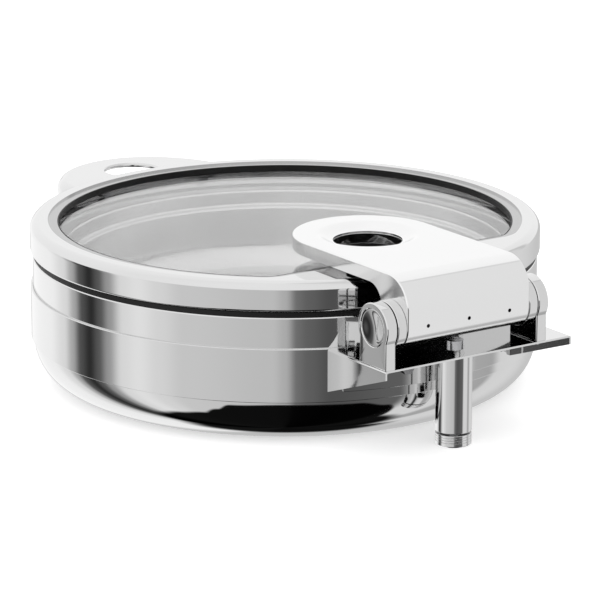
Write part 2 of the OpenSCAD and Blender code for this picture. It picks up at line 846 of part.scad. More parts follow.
module lid_handle() {
    z0 = handle_top - handle_h;
    color("silver") difference() {
        union() {
            translate([0, handle_y, 0]) rotate_extrude() difference() {
                intersection() {
                    translate([0, z0]) square([handle_r, handle_h]);
                    union() {
                        translate([0, z0]) square([handle_r, handle_h - handle_round]);
                        translate([0, z0]) square([handle_r - handle_round, handle_h]);
                        translate([handle_r - handle_round, handle_top - handle_round])
                            circle(r = handle_round);
                    }
                }
                translate([0, z0 - 1]) square([handle_r - handle_t, handle_h - handle_round + 1]);
                translate([0, z0 - 1]) square([handle_r - handle_round, handle_h - handle_t + 1]);
                translate([handle_r - handle_round, handle_top - handle_round])
                    circle(r = handle_round - handle_t);
            }
            intersection() {
                ring(lid_r - 1, lid_r + handle_t, z0, handle_h - 1);
                translate([0, handle_y, 0]) cylinder(r = handle_r - 1, h = handle_top);
                translate([-handle_r, -2 * lid_r, 0]) cube([2 * handle_r, 2 * lid_r, handle_top]);
            }
        }
        translate([0, 0, z0 - 1]) cylinder(r = lid_r, h = handle_h + 2);
        translate([-handle_r, -lid_r, z0]) rotate([180 - handle_taper, 0, 0])
            cube([2 * handle_r, 2 * handle_reach, handle_h]);
        translate([0, finger_y, handle_top - handle_t - 1]) cylinder(r = finger_r, h = handle_t + 2);
        handle_screw_rods(screw_r, lid_r - past, lid_r + handle_t - 0.5);
    }
}

module handle_screws() {
    color("silver") {
        handle_screw_rods(screw_r, lid_r - lid_t - 1, lid_r + handle_t - 1);
        handle_screw_rods(screw_head_r, lid_r - lid_t - 3.5, lid_r - lid_t - 0.5);
    }
}

outer_shell();
collar_band();
induction_base();
water_pan();
pan_gasket();
food_pan();
hinge_shelf();
backing_plate();
shelf_bolts();
leg_tube();
leg_insert();
leg_bush();
leg_screw();
ear_left();
ear_right();
ear_screws();
hinge_shaft();
end_cap_left();
end_cap_right();
thrust_washers();
damper_rotors();
lid_frame();
inner_ring();
ring_edging();
lid_glass();
glass_seal();
lid_seal();
segment_block();
hinge_arm();
arm_screws();
hinge_barrel();
barrel_bushes();
collar_left();
collar_right();
damper_housings();
hinge_hood();
hood_screws();
dish_sleeve();
sleeve_pad();
lid_handle();
handle_screws();
levelling_foot();
foot_pad();
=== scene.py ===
"""Round roll top chafer in mirror-polished stainless steel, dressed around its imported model.

Every polished piece is a closed surface on a grid: a section in (radius, height) carried round an
axis, or a sheet profile carried along a line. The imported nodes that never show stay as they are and
only get a finish. Units are metres; sizes given in millimetres are turned to metres by MM.
"""
import json
import logging
import math
from dataclasses import dataclass, field
from enum import Enum

import bpy
import bmesh
import numpy as np
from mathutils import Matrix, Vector


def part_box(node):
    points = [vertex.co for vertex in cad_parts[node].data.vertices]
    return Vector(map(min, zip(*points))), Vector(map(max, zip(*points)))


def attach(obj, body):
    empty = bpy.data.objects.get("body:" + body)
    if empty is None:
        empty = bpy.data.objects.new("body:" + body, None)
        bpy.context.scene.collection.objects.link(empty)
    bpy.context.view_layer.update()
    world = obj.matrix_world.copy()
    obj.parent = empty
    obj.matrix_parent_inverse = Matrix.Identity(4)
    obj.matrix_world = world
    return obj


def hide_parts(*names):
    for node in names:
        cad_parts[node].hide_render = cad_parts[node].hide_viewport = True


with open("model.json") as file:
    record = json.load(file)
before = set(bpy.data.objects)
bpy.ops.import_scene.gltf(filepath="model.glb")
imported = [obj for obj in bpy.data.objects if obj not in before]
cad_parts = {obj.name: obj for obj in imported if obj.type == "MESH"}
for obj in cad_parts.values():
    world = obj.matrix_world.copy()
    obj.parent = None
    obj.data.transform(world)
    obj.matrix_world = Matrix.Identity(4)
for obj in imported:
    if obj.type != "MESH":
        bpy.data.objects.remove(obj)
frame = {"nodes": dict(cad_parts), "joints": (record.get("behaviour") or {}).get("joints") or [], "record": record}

logging.basicConfig(level=logging.INFO, format="%(message)s")
log = logging.getLogger("chafer")

MM = 0.001
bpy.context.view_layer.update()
TURN = 2 * math.pi
ROUND_STEPS = 720        # divisions round the bowl and the lid
SMALL_STEPS = 144        # divisions round hinge parts and the leg
SHARP_EDGE = math.radians(40)
SAME_POINT = 2e-6        # corners closer than this are merged, in metres
NO_CROSSING = 10.0       # distance given to a ray that misses a line, in metres
LEAST = 1e-4             # least sine or cosine that a distance is divided by


# ---- Shapes ----------------------------------------------------------------


@dataclass(frozen=True)
class Axes:
    """A right-handed frame that a polar section is carried round.

    Attributes:
        origin: point that the section turns about.
        across: direction of angle zero.
        up: direction of the section's height; the turn is right-handed about it.
    """

    origin: tuple[float, float, float]
    across: tuple[float, float, float] = (1, 0, 0)
    up: tuple[float, float, float] = (0, 0, 1)

    def place(self, radial: np.ndarray, angle: np.ndarray, height: np.ndarray) -> np.ndarray:
        """Turns radius, angle and height arrays, broadcast together, into points in space."""
        radial, angle, height = np.broadcast_arrays(radial, angle, height)
        up = np.array(self.up, float)
        across = np.array(self.across, float)
        side = np.cross(up, across)
        flat = np.cos(angle)[..., None] * across + np.sin(angle)[..., None] * side
        return np.array(self.origin, float) + radial[..., None] * flat + height[..., None] * up


def rounded_path(corners: list[tuple[float, float]], radii: list[float], closed: bool,
                 steps: int = 8) -> np.ndarray:
    """Rounds a path's corners with arcs.

    Each corner is cut back by radius / tan(half its angle) on both legs, and the arc between the
    two cuts is a spherical blend of the two spokes from its centre. All corners are done at once.

    Args:
        corners: the path's corner points.
        radii: rounding of each corner; the ends of an open path keep their place.
        closed: whether the last corner joins the first.
        steps: points on each arc.

    Returns:
        The rounded path, one point a row.
    """
    here = np.array(corners, float)
    back = np.roll(here, 1, axis=0) - here
    ahead = np.roll(here, -1, axis=0) - here
    back /= np.maximum(np.linalg.norm(back, axis=1, keepdims=True), 1e-12)
    ahead /= np.maximum(np.linalg.norm(ahead, axis=1, keepdims=True), 1e-12)
    radius = np.maximum(np.array(radii, float), 1e-7)[:, None]
    cosine = np.clip((back * ahead).sum(1, keepdims=True), -0.9999, 0.9999)
    half = np.arccos(cosine) / 2
    middle = (back + ahead) / np.linalg.norm(back + ahead, axis=1, keepdims=True)
    centre = here + middle * radius / np.sin(half)
    spoke_a = here + back * radius / np.tan(half) - centre
    spoke_b = here + ahead * radius / np.tan(half) - centre
    sweep = (math.pi - 2 * half)[:, None, :]
    t = np.linspace(0, 1, steps)[None, :, None]
    arc = (np.sin((1 - t) * sweep) * spoke_a[:, None] + np.sin(t * sweep) * spoke_b[:, None])
    points = centre[:, None] + arc / np.sin(sweep)
    if not closed:
        points[0] = here[0]
        points[-1] = here[-1]
    return points.reshape(-1, 2)


def tidy_path(path: np.ndarray) -> np.ndarray:
    """Drops points that lie on the one before them."""
    gap = np.linalg.norm(np.diff(path, axis=0, prepend=path[:1] - 1), axis=1)
    return path[gap > 1e-8]


def sheet_section(corners: list[tuple[float, float]], radii: list[float], thickness: float,
                  steps: int = 8) -> np.ndarray:
    """Section of bent sheet: a rounded path and its parallel at the sheet's thickness.

    The parallel lies to the left of the path's direction, at thickness along each point's normal.

    Args:
        corners: corners of the sheet's one face.
        radii: rounding of each corner.
        thickness: the sheet's thickness; negative puts it on the right.
        steps: points on each arc.

    Returns:
        A closed loop of points, one a row.
    """
    path = tidy_path(rounded_path(corners, radii, False, steps))
    run = np.gradient(path, axis=0)
    run /= np.linalg.norm(run, axis=1, keepdims=True)
    other = path + thickness * np.stack([-run[:, 1], run[:, 0]], axis=1)
    return np.concatenate([path, other[::-1]])


@dataclass
class Grid:
    """A grid of points that becomes quads.

    Attributes:
        points: array of rows, columns and coordinates.
        wrap_rows: whether the last row joins the first.
        cap_ends: whether each end row, a loop of outer then inner points, is closed by a strip.
    """

    points: np.ndarray
    wrap_rows: bool = True
    cap_ends: bool = False

    def faces(self) -> np.ndarray:
        """Corner numbers of every quad; columns always join up, as sections are closed loops."""
        rows, columns = self.points.shape[:2]
        row = np.arange(rows if self.wrap_rows else rows - 1)[:, None]
        column = np.arange(columns)[None, :]
        next_row = (row + 1) % rows
        next_column = (column + 1) % columns
        corners = (row * columns + column, next_row * columns + column,
                   next_row * columns + next_column, row * columns + next_column)
        quads = np.stack(np.broadcast_arrays(*corners), axis=-1).reshape(-1, 4)
        if not self.cap_ends:
            return quads
        j = np.arange(columns // 2 - 1)
        strip = np.stack([j, j + 1, columns - 2 - j, columns - 1 - j], axis=1)
        return np.concatenate([quads, strip, strip[:, ::-1] + (rows - 1) * columns])


def mesh_object(name: str, grids: list[Grid]) -> bpy.types.Object:
    """Makes one object of closed grids, with poles merged, faces outwards and smooth shading.

    Args:
        name: the piece's name.
        grids: its closed surfaces.

    Returns:
        The object, at the origin, with a weighted-normal modifier so that flats stay flat.
    """
    starts = np.cumsum([0] + [g.points.shape[0] * g.points.shape[1] for g in grids])
    points = np.concatenate([g.points.reshape(-1, 3) for g in grids])
    faces = np.concatenate([g.faces() + start for g, start in zip(grids, starts)])
    mesh = bpy.data.meshes.new(name)
    mesh.from_pydata(points.tolist(), [], faces.tolist())
    shape = bmesh.new()
    shape.from_mesh(mesh)
    bmesh.ops.remove_doubles(shape, verts=shape.verts, dist=SAME_POINT)
    bmesh.ops.dissolve_degenerate(shape, dist=SAME_POINT / 2, edges=shape.edges)
    bmesh.ops.recalc_face_normals(shape, faces=shape.faces)
    shape.to_mesh(mesh)
    shape.free()
    mesh.polygons.foreach_set("use_smooth", np.ones(len(mesh.polygons), bool))
    piece = bpy.data.objects.new(name, mesh)
    bpy.context.scene.collection.objects.link(piece)
    keep_flats(piece)
    return piece


def keep_flats(piece: bpy.types.Object) -> None:
    """Marks edges over SHARP_EDGE sharp and weights the normals, so that flats stay flat."""
    piece.data.set_sharp_from_angle(angle=SHARP_EDGE)
    shading = piece.modifiers.new("flats stay flat", "WEIGHTED_NORMAL")
    shading.mode = "FACE_AREA_WITH_ANGLE"
    shading.weight = 80
    shading.keep_sharp = True


def drilled(shell: Grid, holes: list[Grid]) -> bpy.types.Mesh:
    """Cuts closed grids out of one closed shell.

    Args:
        shell: the shell.
        holes: the closed shapes to take away.

    Returns:
        The drilled mesh.
    """
    block = mesh_object("block", [shell])
    cutter = mesh_object("cutter", holes)
    block.modifiers.clear()
    cut = block.modifiers.new("holes", "BOOLEAN")
    cut.object = cutter
    cut.operation = "DIFFERENCE"
    cut.solver = "EXACT"
    ready = block.evaluated_get(bpy.context.evaluated_depsgraph_get())
    mesh = bpy.data.meshes.new_from_object(ready)
    bpy.data.objects.remove(block)
    bpy.data.objects.remove(cutter)
    return mesh


def add_shell(piece: bpy.types.Object, mesh: bpy.types.Mesh) -> None:
    """Joins a finished closed mesh to a piece, as a shell beside its own."""
    shape = bmesh.new()
    shape.from_mesh(piece.data)
    shape.from_mesh(mesh)
    shape.to_mesh(piece.data)
    shape.free()
    piece.data.polygons.foreach_set("use_smooth", np.ones(len(piece.data.polygons), bool))
    piece.modifiers.clear()
    keep_flats(piece)


def revolved(section: np.ndarray, axes: Axes, steps: int = ROUND_STEPS) -> Grid:
    """Carries a closed (radius, height) section round a full turn."""
    angle = np.linspace(0, TURN, steps, endpoint=False)[:, None]
    return Grid(axes.place(section[None, :, 0], angle, section[None, :, 1]))


def rays(axes: Axes, angle: np.ndarray,
         columns: list[tuple[np.ndarray, np.ndarray]]) -> Grid:
    """Grid whose rows are rays, one an angle, and whose section is given part by part.

    Args:
        axes: the frame that the rays turn in.
        angle: the rays' angles.
        columns: radii and heights of each part of the section, one row a ray.

    Returns:
        The closed grid.
    """
    rows = len(angle)
    radial, height = (np.concatenate([np.broadcast_to(part, (rows, part.shape[1]))
                                      for part in parts], 1) for parts in zip(*columns))
    return Grid(axes.place(radial, angle[:, None], height))


def rounded_ring(r_in: float, r_out: float, low: float, high: float, edge: float) -> np.ndarray:
    """Section of a flat ring or tube with all four edges rounded."""
    corners = [(r_in, low), (r_out, low), (r_out, high), (r_in, high)]
    return rounded_path(corners, [edge] * 4, True, 5)


# ---- Finishes --------------------------------------------------------------


def linear(code: str) -> tuple[float, float, float, float]:
    """Turns an sRGB hex value into linear red, green, blue and full alpha."""
    part = np.array([int(code[i:i + 2], 16) for i in (1, 3, 5)]) / 255
    value = np.where(part <= 0.04045, part / 12.92, ((part + 0.055) / 1.055) ** 2.4)
    return (*value.tolist(), 1.0)


def add_node(tree: bpy.types.NodeTree, kind: str, inputs: dict | None = None,
             **settings) -> bpy.types.Node:
    """Adds a node, sets its properties, and gives its inputs values or links.

    Args:
        tree: the node tree.
        kind: the node's type name.
        inputs: input name or number to a value, or to an output socket to link from.
        **settings: the node's own properties.

    Returns:
        The new node.
    """
    node = tree.nodes.new(kind)
    for key, value in settings.items():
        setattr(node, key, value)
    for key, value in (inputs or {}).items():
        if isinstance(value, bpy.types.NodeSocket):
            tree.links.new(value, node.inputs[key])
        else:
            node.inputs[key].default_value = value
    return node


class Pattern(Enum):
    """How a surface was worked, which sets the shape of its fine marks."""

    POLISHED = "buffed sheet: broad shallow waves and a trace of fine buffing marks"
    TURNED = "spun or turned: fine circles about the bowl's axis"
    GRAINED = "ground along one line: fine long scratches"
    MOULDED = "moulded: an even fine grain"


@dataclass(frozen=True)
class Finish:
    """A material: what it is made of and how its surface was made.

    Attributes:
        name: common name of the material and its finish.
        colour: sRGB hex value.
        metallic: 1 for bare metal, 0 for the rest.
        roughness: middle roughness.
        pattern: how the surface was worked.
        pitch: spacing of the fine marks, in millimetres.
        swing: how far the marks move the roughness.
        relief: height of the marks, in millimetres.
        line: direction of GRAINED scratches.
        ior: index of refraction; metals keep the default.
        transmission: share of light let through.
    """

    name: str
    colour: str
    metallic: float
    roughness: float
    pattern: Pattern
    pitch: float
    swing: float
    relief: float
    line: tuple[float, float, float] = (1, 0, 0)
    ior: float = 1.5
    transmission: float = 0.0

    def marks(self, tree: bpy.types.NodeTree) -> bpy.types.NodeSocket:
        """Adds the nodes of the fine marks and returns their height, from 0 to 1."""
        place = add_node(tree, "ShaderNodeTexCoord").outputs["Object"]
        rate = 1 / (self.pitch * MM)
        if self.pattern is Pattern.TURNED:
            flat = add_node(tree, "ShaderNodeVectorMath", {0: place, 1: (1, 1, 0)},
                            operation="MULTIPLY").outputs[0]
            radius = add_node(tree, "ShaderNodeVectorMath", {0: flat}, operation="LENGTH")
            return add_node(tree, "ShaderNodeTexNoise",
                            {"W": radius.outputs["Value"], "Scale": rate, "Detail": 3.0},
                            noise_dimensions="1D").outputs["Fac"]
        if self.pattern is Pattern.GRAINED:
            stretch = tuple(rate * (0.01 if along else 1) for along in self.line)
            place = add_node(tree, "ShaderNodeVectorMath", {0: place, 1: stretch},
                             operation="MULTIPLY").outputs[0]
            rate = 1.0
        detail = 6.0 if self.pattern is Pattern.POLISHED else 2.0
        return add_node(tree, "ShaderNodeTexNoise",
                        {"Vector": place, "Scale": rate, "Detail": detail,
                         "Roughness": 0.35}).outputs["Fac"]

    def build(self) -> bpy.types.Material:
        """Makes the material; its marks move the roughness and raise a slight relief."""
        material = bpy.data.materials.new(self.name)
        material.use_nodes = True
        tree = material.node_tree
        tree.nodes.clear()
        marks = self.marks(tree)
        roughness = add_node(tree, "ShaderNodeMapRange",
                             {"Value": marks, "From Min": 0.3, "From Max": 0.7,
                              "To Min": max(self.roughness - self.swing, 0.0),
                              "To Max": self.roughness + self.swing}).outputs["Result"]
        relief = add_node(tree, "ShaderNodeBump",
                          {"Height": marks, "Strength": 1.0, "Distance": self.relief * MM})
        shader = add_node(tree, "ShaderNodeBsdfPrincipled",
                          {"Base Color": linear(self.colour), "Metallic": self.metallic,
                           "Roughness": roughness, "IOR": self.ior,
                           "Transmission Weight": self.transmission,
                           "Normal": relief.outputs["Normal"]})
        add_node(tree, "ShaderNodeOutputMaterial", {"Surface": shader.outputs["BSDF"]})
        return material


class Material(Enum):
    """Every finish on the chafer, with the record's slot that it belongs to.

    Two finishes may share a slot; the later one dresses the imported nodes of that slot.
    """

    # 18/10 sheet, buffed to a mirror: clear dark and light bands with barely softened edges
    MIRROR = ("polished_stainless", Finish("mirror-polished stainless steel", "#DFDFDF", 1.0, 0.05,
                                           Pattern.POLISHED, 60, 0.02, 0.012))
    # the same sheet under a finer buff on the hood: reflections a little softer
    HOOD = ("hood_stainless", Finish("fine-buffed stainless steel", "#F0F0F0", 1.0, 0.11,
                                     Pattern.POLISHED, 45, 0.02, 0.01))
    # the lid's inner ring, taken as pickled: duller and greyer than the frame beside it
    RING = ("pan_stainless", Finish("pickled stainless steel", "#B2B2B2", 1.0, 0.2,
                                    Pattern.TURNED, 1.2, 0.04, 0.002))
    # drawn pans, left bright from the press: soft sheen with faint rings
    PAN = ("pan_stainless", Finish("bright drawn stainless steel", "#D2D2D2", 1.0, 0.17,
                                   Pattern.TURNED, 1.5, 0.05, 0.004))
    # tempered soda-lime glass, fire polished: clear with a faint cool cast
    GLASS = ("tempered_glass", Finish("clear tempered glass", "#F7F7F7", 0.0, 0.004,
                                      Pattern.POLISHED, 120, 0.004, 0.004, ior=1.5,
                                      transmission=1.0))
    # compression-moulded silicone: matt black with a soft edge light
    SILICONE = ("silicone", Finish("black silicone rubber", "#0B0B0B", 0.0, 0.5,
                                   Pattern.MOULDED, 0.8, 0.08, 0.02, ior=1.41))
    FOOT = ("foot_rubber", Finish("black nitrile rubber", "#181817", 0.0, 0.6,
                                  Pattern.MOULDED, 1.0, 0.1, 0.03, ior=1.52))
    # machined bar, left as it came off the lathe or mill
    MACHINED = ("machined_steel", Finish("machined stainless steel", "#B4B4B6", 1.0, 0.26,
                                         Pattern.GRAINED, 0.5, 0.06, 0.001))
    # steel coloured near black as painted shade, for the dark hollows round the hinge barrel and the hood's
    # screws, with a dull oily sheen
    BLACKENED = ("blackened_steel", Finish("black-oxide steel", "#0E0E0F", 1.0, 0.42,
                                           Pattern.MOULDED, 0.6, 0.06, 0.002))
    FASTENER = ("fastener_steel", Finish("plain A2 stainless steel", "#C4C4C6", 1.0, 0.2,
                                         Pattern.MOULDED, 0.6, 0.06, 0.005))
    # ferritic plate bonded under the pan, satin from the belt
    INDUCTION = ("induction_steel", Finish("ferritic stainless steel", "#9A9A9C", 1.0, 0.32,
                                           Pattern.TURNED, 0.7, 0.08, 0.008))
    BRONZE = ("bronze", Finish("sintered bronze", "#B98A55", 1.0, 0.38,
                               Pattern.MOULDED, 0.5, 0.08, 0.012))
    PLASTIC = ("damper_plastic", Finish("black acetal", "#1B1B1D", 0.0, 0.42,
                                        Pattern.MOULDED, 0.9, 0.06, 0.01, ior=1.48))

    @property
    def slot(self) -> str:
        """The record's material slot."""
        return self.value[0]


class Workshop:
    """Builds each material once, and hands finished pieces to the frame."""

    def __init__(self) -> None:
        """Starts with no material made."""
        self.made: dict[Material, bpy.types.Material] = {}
        self.by_slot = {choice.slot: choice for choice in Material}

    def material(self, choice: Material) -> bpy.types.Material:
        """The material of that name, made at its first use."""
        if choice not in self.made:
            self.made[choice] = choice.value[1].build()
        return self.made[choice]

    def piece(self, name: str, grids: list[Grid], choice: Material, body: str,
              *nodes: str) -> bpy.types.Object:
        """Makes a piece, dresses it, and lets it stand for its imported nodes.

        Args:
            name: the piece's name.
            grids: its closed surfaces.
            choice: its material.
            body: the body that it rides on.
            *nodes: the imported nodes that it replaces.

        Returns:
            The piece.
        """
        made = mesh_object(name, grids)
        made.data.materials.append(self.material(choice))
        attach(made, body)
        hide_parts(*nodes)
        log.info("%s: %d faces, %s", name, len(made.data.polygons), choice.slot)
        return made

    def dress_nodes(self) -> None:
        """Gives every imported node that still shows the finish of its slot."""
        slots = {part["node"]: part["material_slot"] for part in frame["record"]["subparts"]}
        for name, node in frame["nodes"].items():
            node.data.materials.clear()
            node.data.materials.append(self.material(self.by_slot[slots[name]]))


# ---- Bowl and pans ---------------------------------------------------------


def reach(node: str) -> float:
    """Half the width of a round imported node, as its radius."""
    low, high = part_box(node)
    return (high.x - low.x) / 2


def hinge_axis() -> tuple[float, float]:
    """How far back and how high the lid's hinge axis lies."""
    place = next(joint["pos_m"] for joint in frame["joints"] if joint["name"] == "lid_hinge")
    return place[1], place[2]


def levels(node: str) -> tuple[float, float]:
    """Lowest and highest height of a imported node."""
    low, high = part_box(node)
    return low.z, high.z


@dataclass
class Bowl:
    """The drawn bowl with its wrapped band.

    Attributes:
        shell_r: outer radius of the bowl.
        band_r: outer radius of the band.
        sheet: thickness of the bowl's sheet.
        corner: outer radius of the bottom corner.
        flange: width of the inward rim flange.
        open_r: radius of the opening in the bottom.
    """

    band_r: float = field(default_factory=lambda: reach("collar_band"))
    shell_r: float = 203 * MM
    sheet: float = 1.2 * MM
    corner: float = 36 * MM
    flange: float = 15 * MM
    open_r: float = 120 * MM

    def shell(self) -> Grid:
        """Bowl: bottom ring, round corner, straight wall and inward rim, one sheet thick."""
        low, high = levels("outer_shell")
        corners = [(self.open_r, low), (self.shell_r, low), (self.shell_r, high),
                   (self.shell_r - self.flange, high)]
        section = sheet_section(corners, [0, self.corner, 1.2 * self.sheet, 0], self.sheet, 14)
        return revolved(section, Axes((0, 0, 0)))

    def band(self) -> Grid:
        """Band: a flat hoop round the bowl, its edges broken by half a millimetre."""
        low, high = levels("collar_band")
        return revolved(rounded_ring(self.shell_r, self.band_r, low, high, 0.5 * MM),
                        Axes((0, 0, 0)))

    def build(self, shop: Workshop) -> None:
        """Makes both pieces."""
        shop.piece("bowl_shell", [self.shell()], Material.MIRROR, "base", "outer_shell")
        shop.piece("bowl_band", [self.band()], Material.MIRROR, "base", "collar_band")


@dataclass
class Pans:
    """The water pan and the food pan that hangs in it.

    Attributes:
        sheet: thickness of both pans.
        water_wall: outer radius of the water pan's wall.
        water_corner: its bottom corner radius.
        food_wall: inner radius of the food pan below its flange.
        shoulder: width of the food pan's shoulder.
        shoulder_drop: depth of the shoulder below the flange.
        food_corner: corner radius at its floor.
        soft: small rounding of the pressed edges.
    """

    sheet: float = 1 * MM
    water_wall: float = 186 * MM
    water_corner: float = 30 * MM
    food_wall: float = 176 * MM
    shoulder: float = 6 * MM
    shoulder_drop: float = 13 * MM
    food_corner: float = 24 * MM
    soft: float = 2.2 * MM

    def water(self) -> Grid:
        """Water pan: floor, round corner, wall and outward flange, one sheet thick."""
        low, high = levels("water_pan")
        corners = [(0, low), (self.water_wall, low), (self.water_wall, high - self.sheet),
                   (reach("water_pan"), high - self.sheet)]
        section = sheet_section(corners, [0, self.water_corner, 0.5 * self.soft, 0], self.sheet, 12)
        return revolved(section, Axes((0, 0, 0)))

    def food(self) -> Grid:
        """Food pan: flange, short neck, shoulder, wall, round corner and floor, one sheet thick."""
        low, high = levels("food_pan")
        step = high - self.shoulder_drop
        inner = self.food_wall - self.shoulder
        floor = low + self.sheet
        corners = [(reach("food_pan"), high), (self.food_wall, high), (self.food_wall, step),
                   (inner, step), (inner, floor), (0, floor)]
        radii = [0, self.soft, self.soft, self.soft, self.food_corner, 0]
        return revolved(sheet_section(corners, radii, self.sheet, 12), Axes((0, 0, 0)))

    def build(self, shop: Workshop) -> None:
        """Makes both pans."""
        shop.piece("water_tray", [self.water()], Material.PAN, "base", "water_pan")
        shop.piece("food_tray", [self.food()], Material.PAN, "base", "food_pan")


# ---- Lid -------------------------------------------------------------------


@dataclass
class Lid:
    """The lid's frame, inner ring, edging and the glass sunk below them, on one opening.

    The opening is a circle whose back is cut off by a straight edge, with a round corner at each
    end of that edge.

    Attributes:
        outer_r: outer radius.
        sheet: thickness of the frame's sheet.
        edge: rounding of the outer top edge.
        border_r: radius of the opening.
        back: distance from the axis to the straight edge.
        fillet: radius of the opening's two corners.
        hem: width of the hem under the skirt.
        ledge: how far the inner ring shows inside the opening.
        edging: thickness of the silicone edging on the inner ring.
        soft: rounding of the inner ring's edges.
        glass_lap: how far the glass reaches under the inner ring.
    """

    outer_r: float = field(default_factory=lambda: reach("lid_frame"))
    sheet: float = 1.5 * MM
    edge: float = 7 * MM
    border_r: float = 190.3 * MM
    back: float = 153 * MM
    fillet: float = 30 * MM
    hem: float = 11 * MM
    ledge: float = 8.8 * MM
    edging: float = 1.2 * MM
    soft: float = 0.14 * MM
    glass_lap: float = 6 * MM

    def opening(self, angle: np.ndarray, grow: np.ndarray) -> np.ndarray:
        """Distance from the axis to the opening's edge.

        It is the lesser of the circle's radius and the straight edge's distance over the sine of
        the angle. Between the two points where a corner circle touches them, it is the far
        crossing of the ray with that circle, from the quadratic of ray and circle.

        Args:
            angle: ray angles.
            grow: how far the edge is moved outwards, broadcast against the angles.

        Returns:
            The distance for each pair.
        """
        radius = self.border_r + grow
        edge = self.back + grow
        corner = self.fillet + grow
        centre_y = self.back - self.fillet
        centre_x = math.sqrt((self.border_r - self.fillet) ** 2 - centre_y ** 2)
        sine = np.sin(angle)
        cosine = np.abs(np.cos(angle))
        straight = np.where(sine > 1e-3, edge / np.maximum(sine, 1e-3), NO_CROSSING)
        plain = np.minimum(radius, straight)
        along = cosine * centre_x + sine * centre_y
        inside = np.maximum(along ** 2 - centre_x ** 2 - centre_y ** 2 + corner ** 2, 0)
        bent = along + np.sqrt(inside)
        from_angle = math.atan2(centre_y, centre_x)
        to_angle = np.arctan2(edge, centre_x)
        ray = np.arctan2(sine, cosine)
        return np.where((ray > from_angle) & (ray < to_angle), np.minimum(bent, plain), plain)

    def ring_of(self, section: np.ndarray, follow_below: float) -> Grid:
        """Carries a section round, with the radii under a limit following the opening's edge.

        Args:
            section: closed (radius, height) loop, drawn where the opening is round.
            follow_below: radii up to this one follow the opening; larger ones stay circles.

        Returns:
            The closed grid.
        """
        angle = np.linspace(0, TURN, ROUND_STEPS, endpoint=False)[:, None]
        radius = section[None, :, 0]
        edge = self.opening(angle, radius - self.border_r)
        radial = np.where(radius <= follow_below, edge, radius)
        radial = np.where(radius < 1 * MM, radius, radial)
        return Grid(Axes((0, 0, 0)).place(radial, angle, section[None, :, 1]))

    def frame_grid(self) -> Grid:
        """Frame: hem, skirt, rounded top edge and flat border in to the opening, one sheet."""
        low, high = levels("lid_frame")
        corners = [(self.outer_r - self.hem, low), (self.outer_r, low), (self.outer_r, high),
                   (self.border_r, high)]
        section = sheet_section(corners, [0, 2 * MM, self.edge, 0], self.sheet, 14)
        return self.ring_of(section, self.border_r + 1 * MM)

    def ring_grid(self) -> Grid:
        """Inner ring: a flat ledge under the border, above the glass, its edges barely broken."""
        low, high = levels("inner_ring")
        inner = self.border_r - self.ledge + self.edging
        section = rounded_ring(inner, reach("inner_ring"), low, high, self.soft)
        return self.ring_of(section, inner + 1 * MM)

    def edging_grid(self) -> Grid:
        """Edging: a wall from the ring's top down to the glass, its edges rounded."""
        low, high = levels("ring_edging")
        inner = self.border_r - self.ledge
        section = rounded_ring(inner, inner + self.edging, low, high, 0.35 * MM)
        return self.ring_of(section, inner + self.edging + 1 * MM)

    def glass_grid(self) -> Grid:
        """Glass: a flat pane to past the inner ring's edge, its rim ground round."""
        low, high = levels("lid_glass")
        rim = self.border_r - self.ledge + self.edging + self.glass_lap
        corners = [(0, low), (rim, low), (rim, high), (0, high)]
        section = rounded_path(corners, [0, 1.2 * MM, 1.2 * MM, 0], True, 6)
        return self.ring_of(section, rim + 1 * MM)

    def build(self, shop: Workshop) -> None:
        """Makes the four pieces."""
        shop.piece("lid_rim", [self.frame_grid()], Material.MIRROR, "lid", "lid_frame")
        shop.piece("lid_ledge", [self.ring_grid()], Material.RING, "lid", "inner_ring")
        shop.piece("ledge_edging", [self.edging_grid()], Material.SILICONE, "lid", "ring_edging")
        shop.piece("lid_pane", [self.glass_grid()], Material.GLASS, "lid", "lid_glass")


# ---- Hood ------------------------------------------------------------------


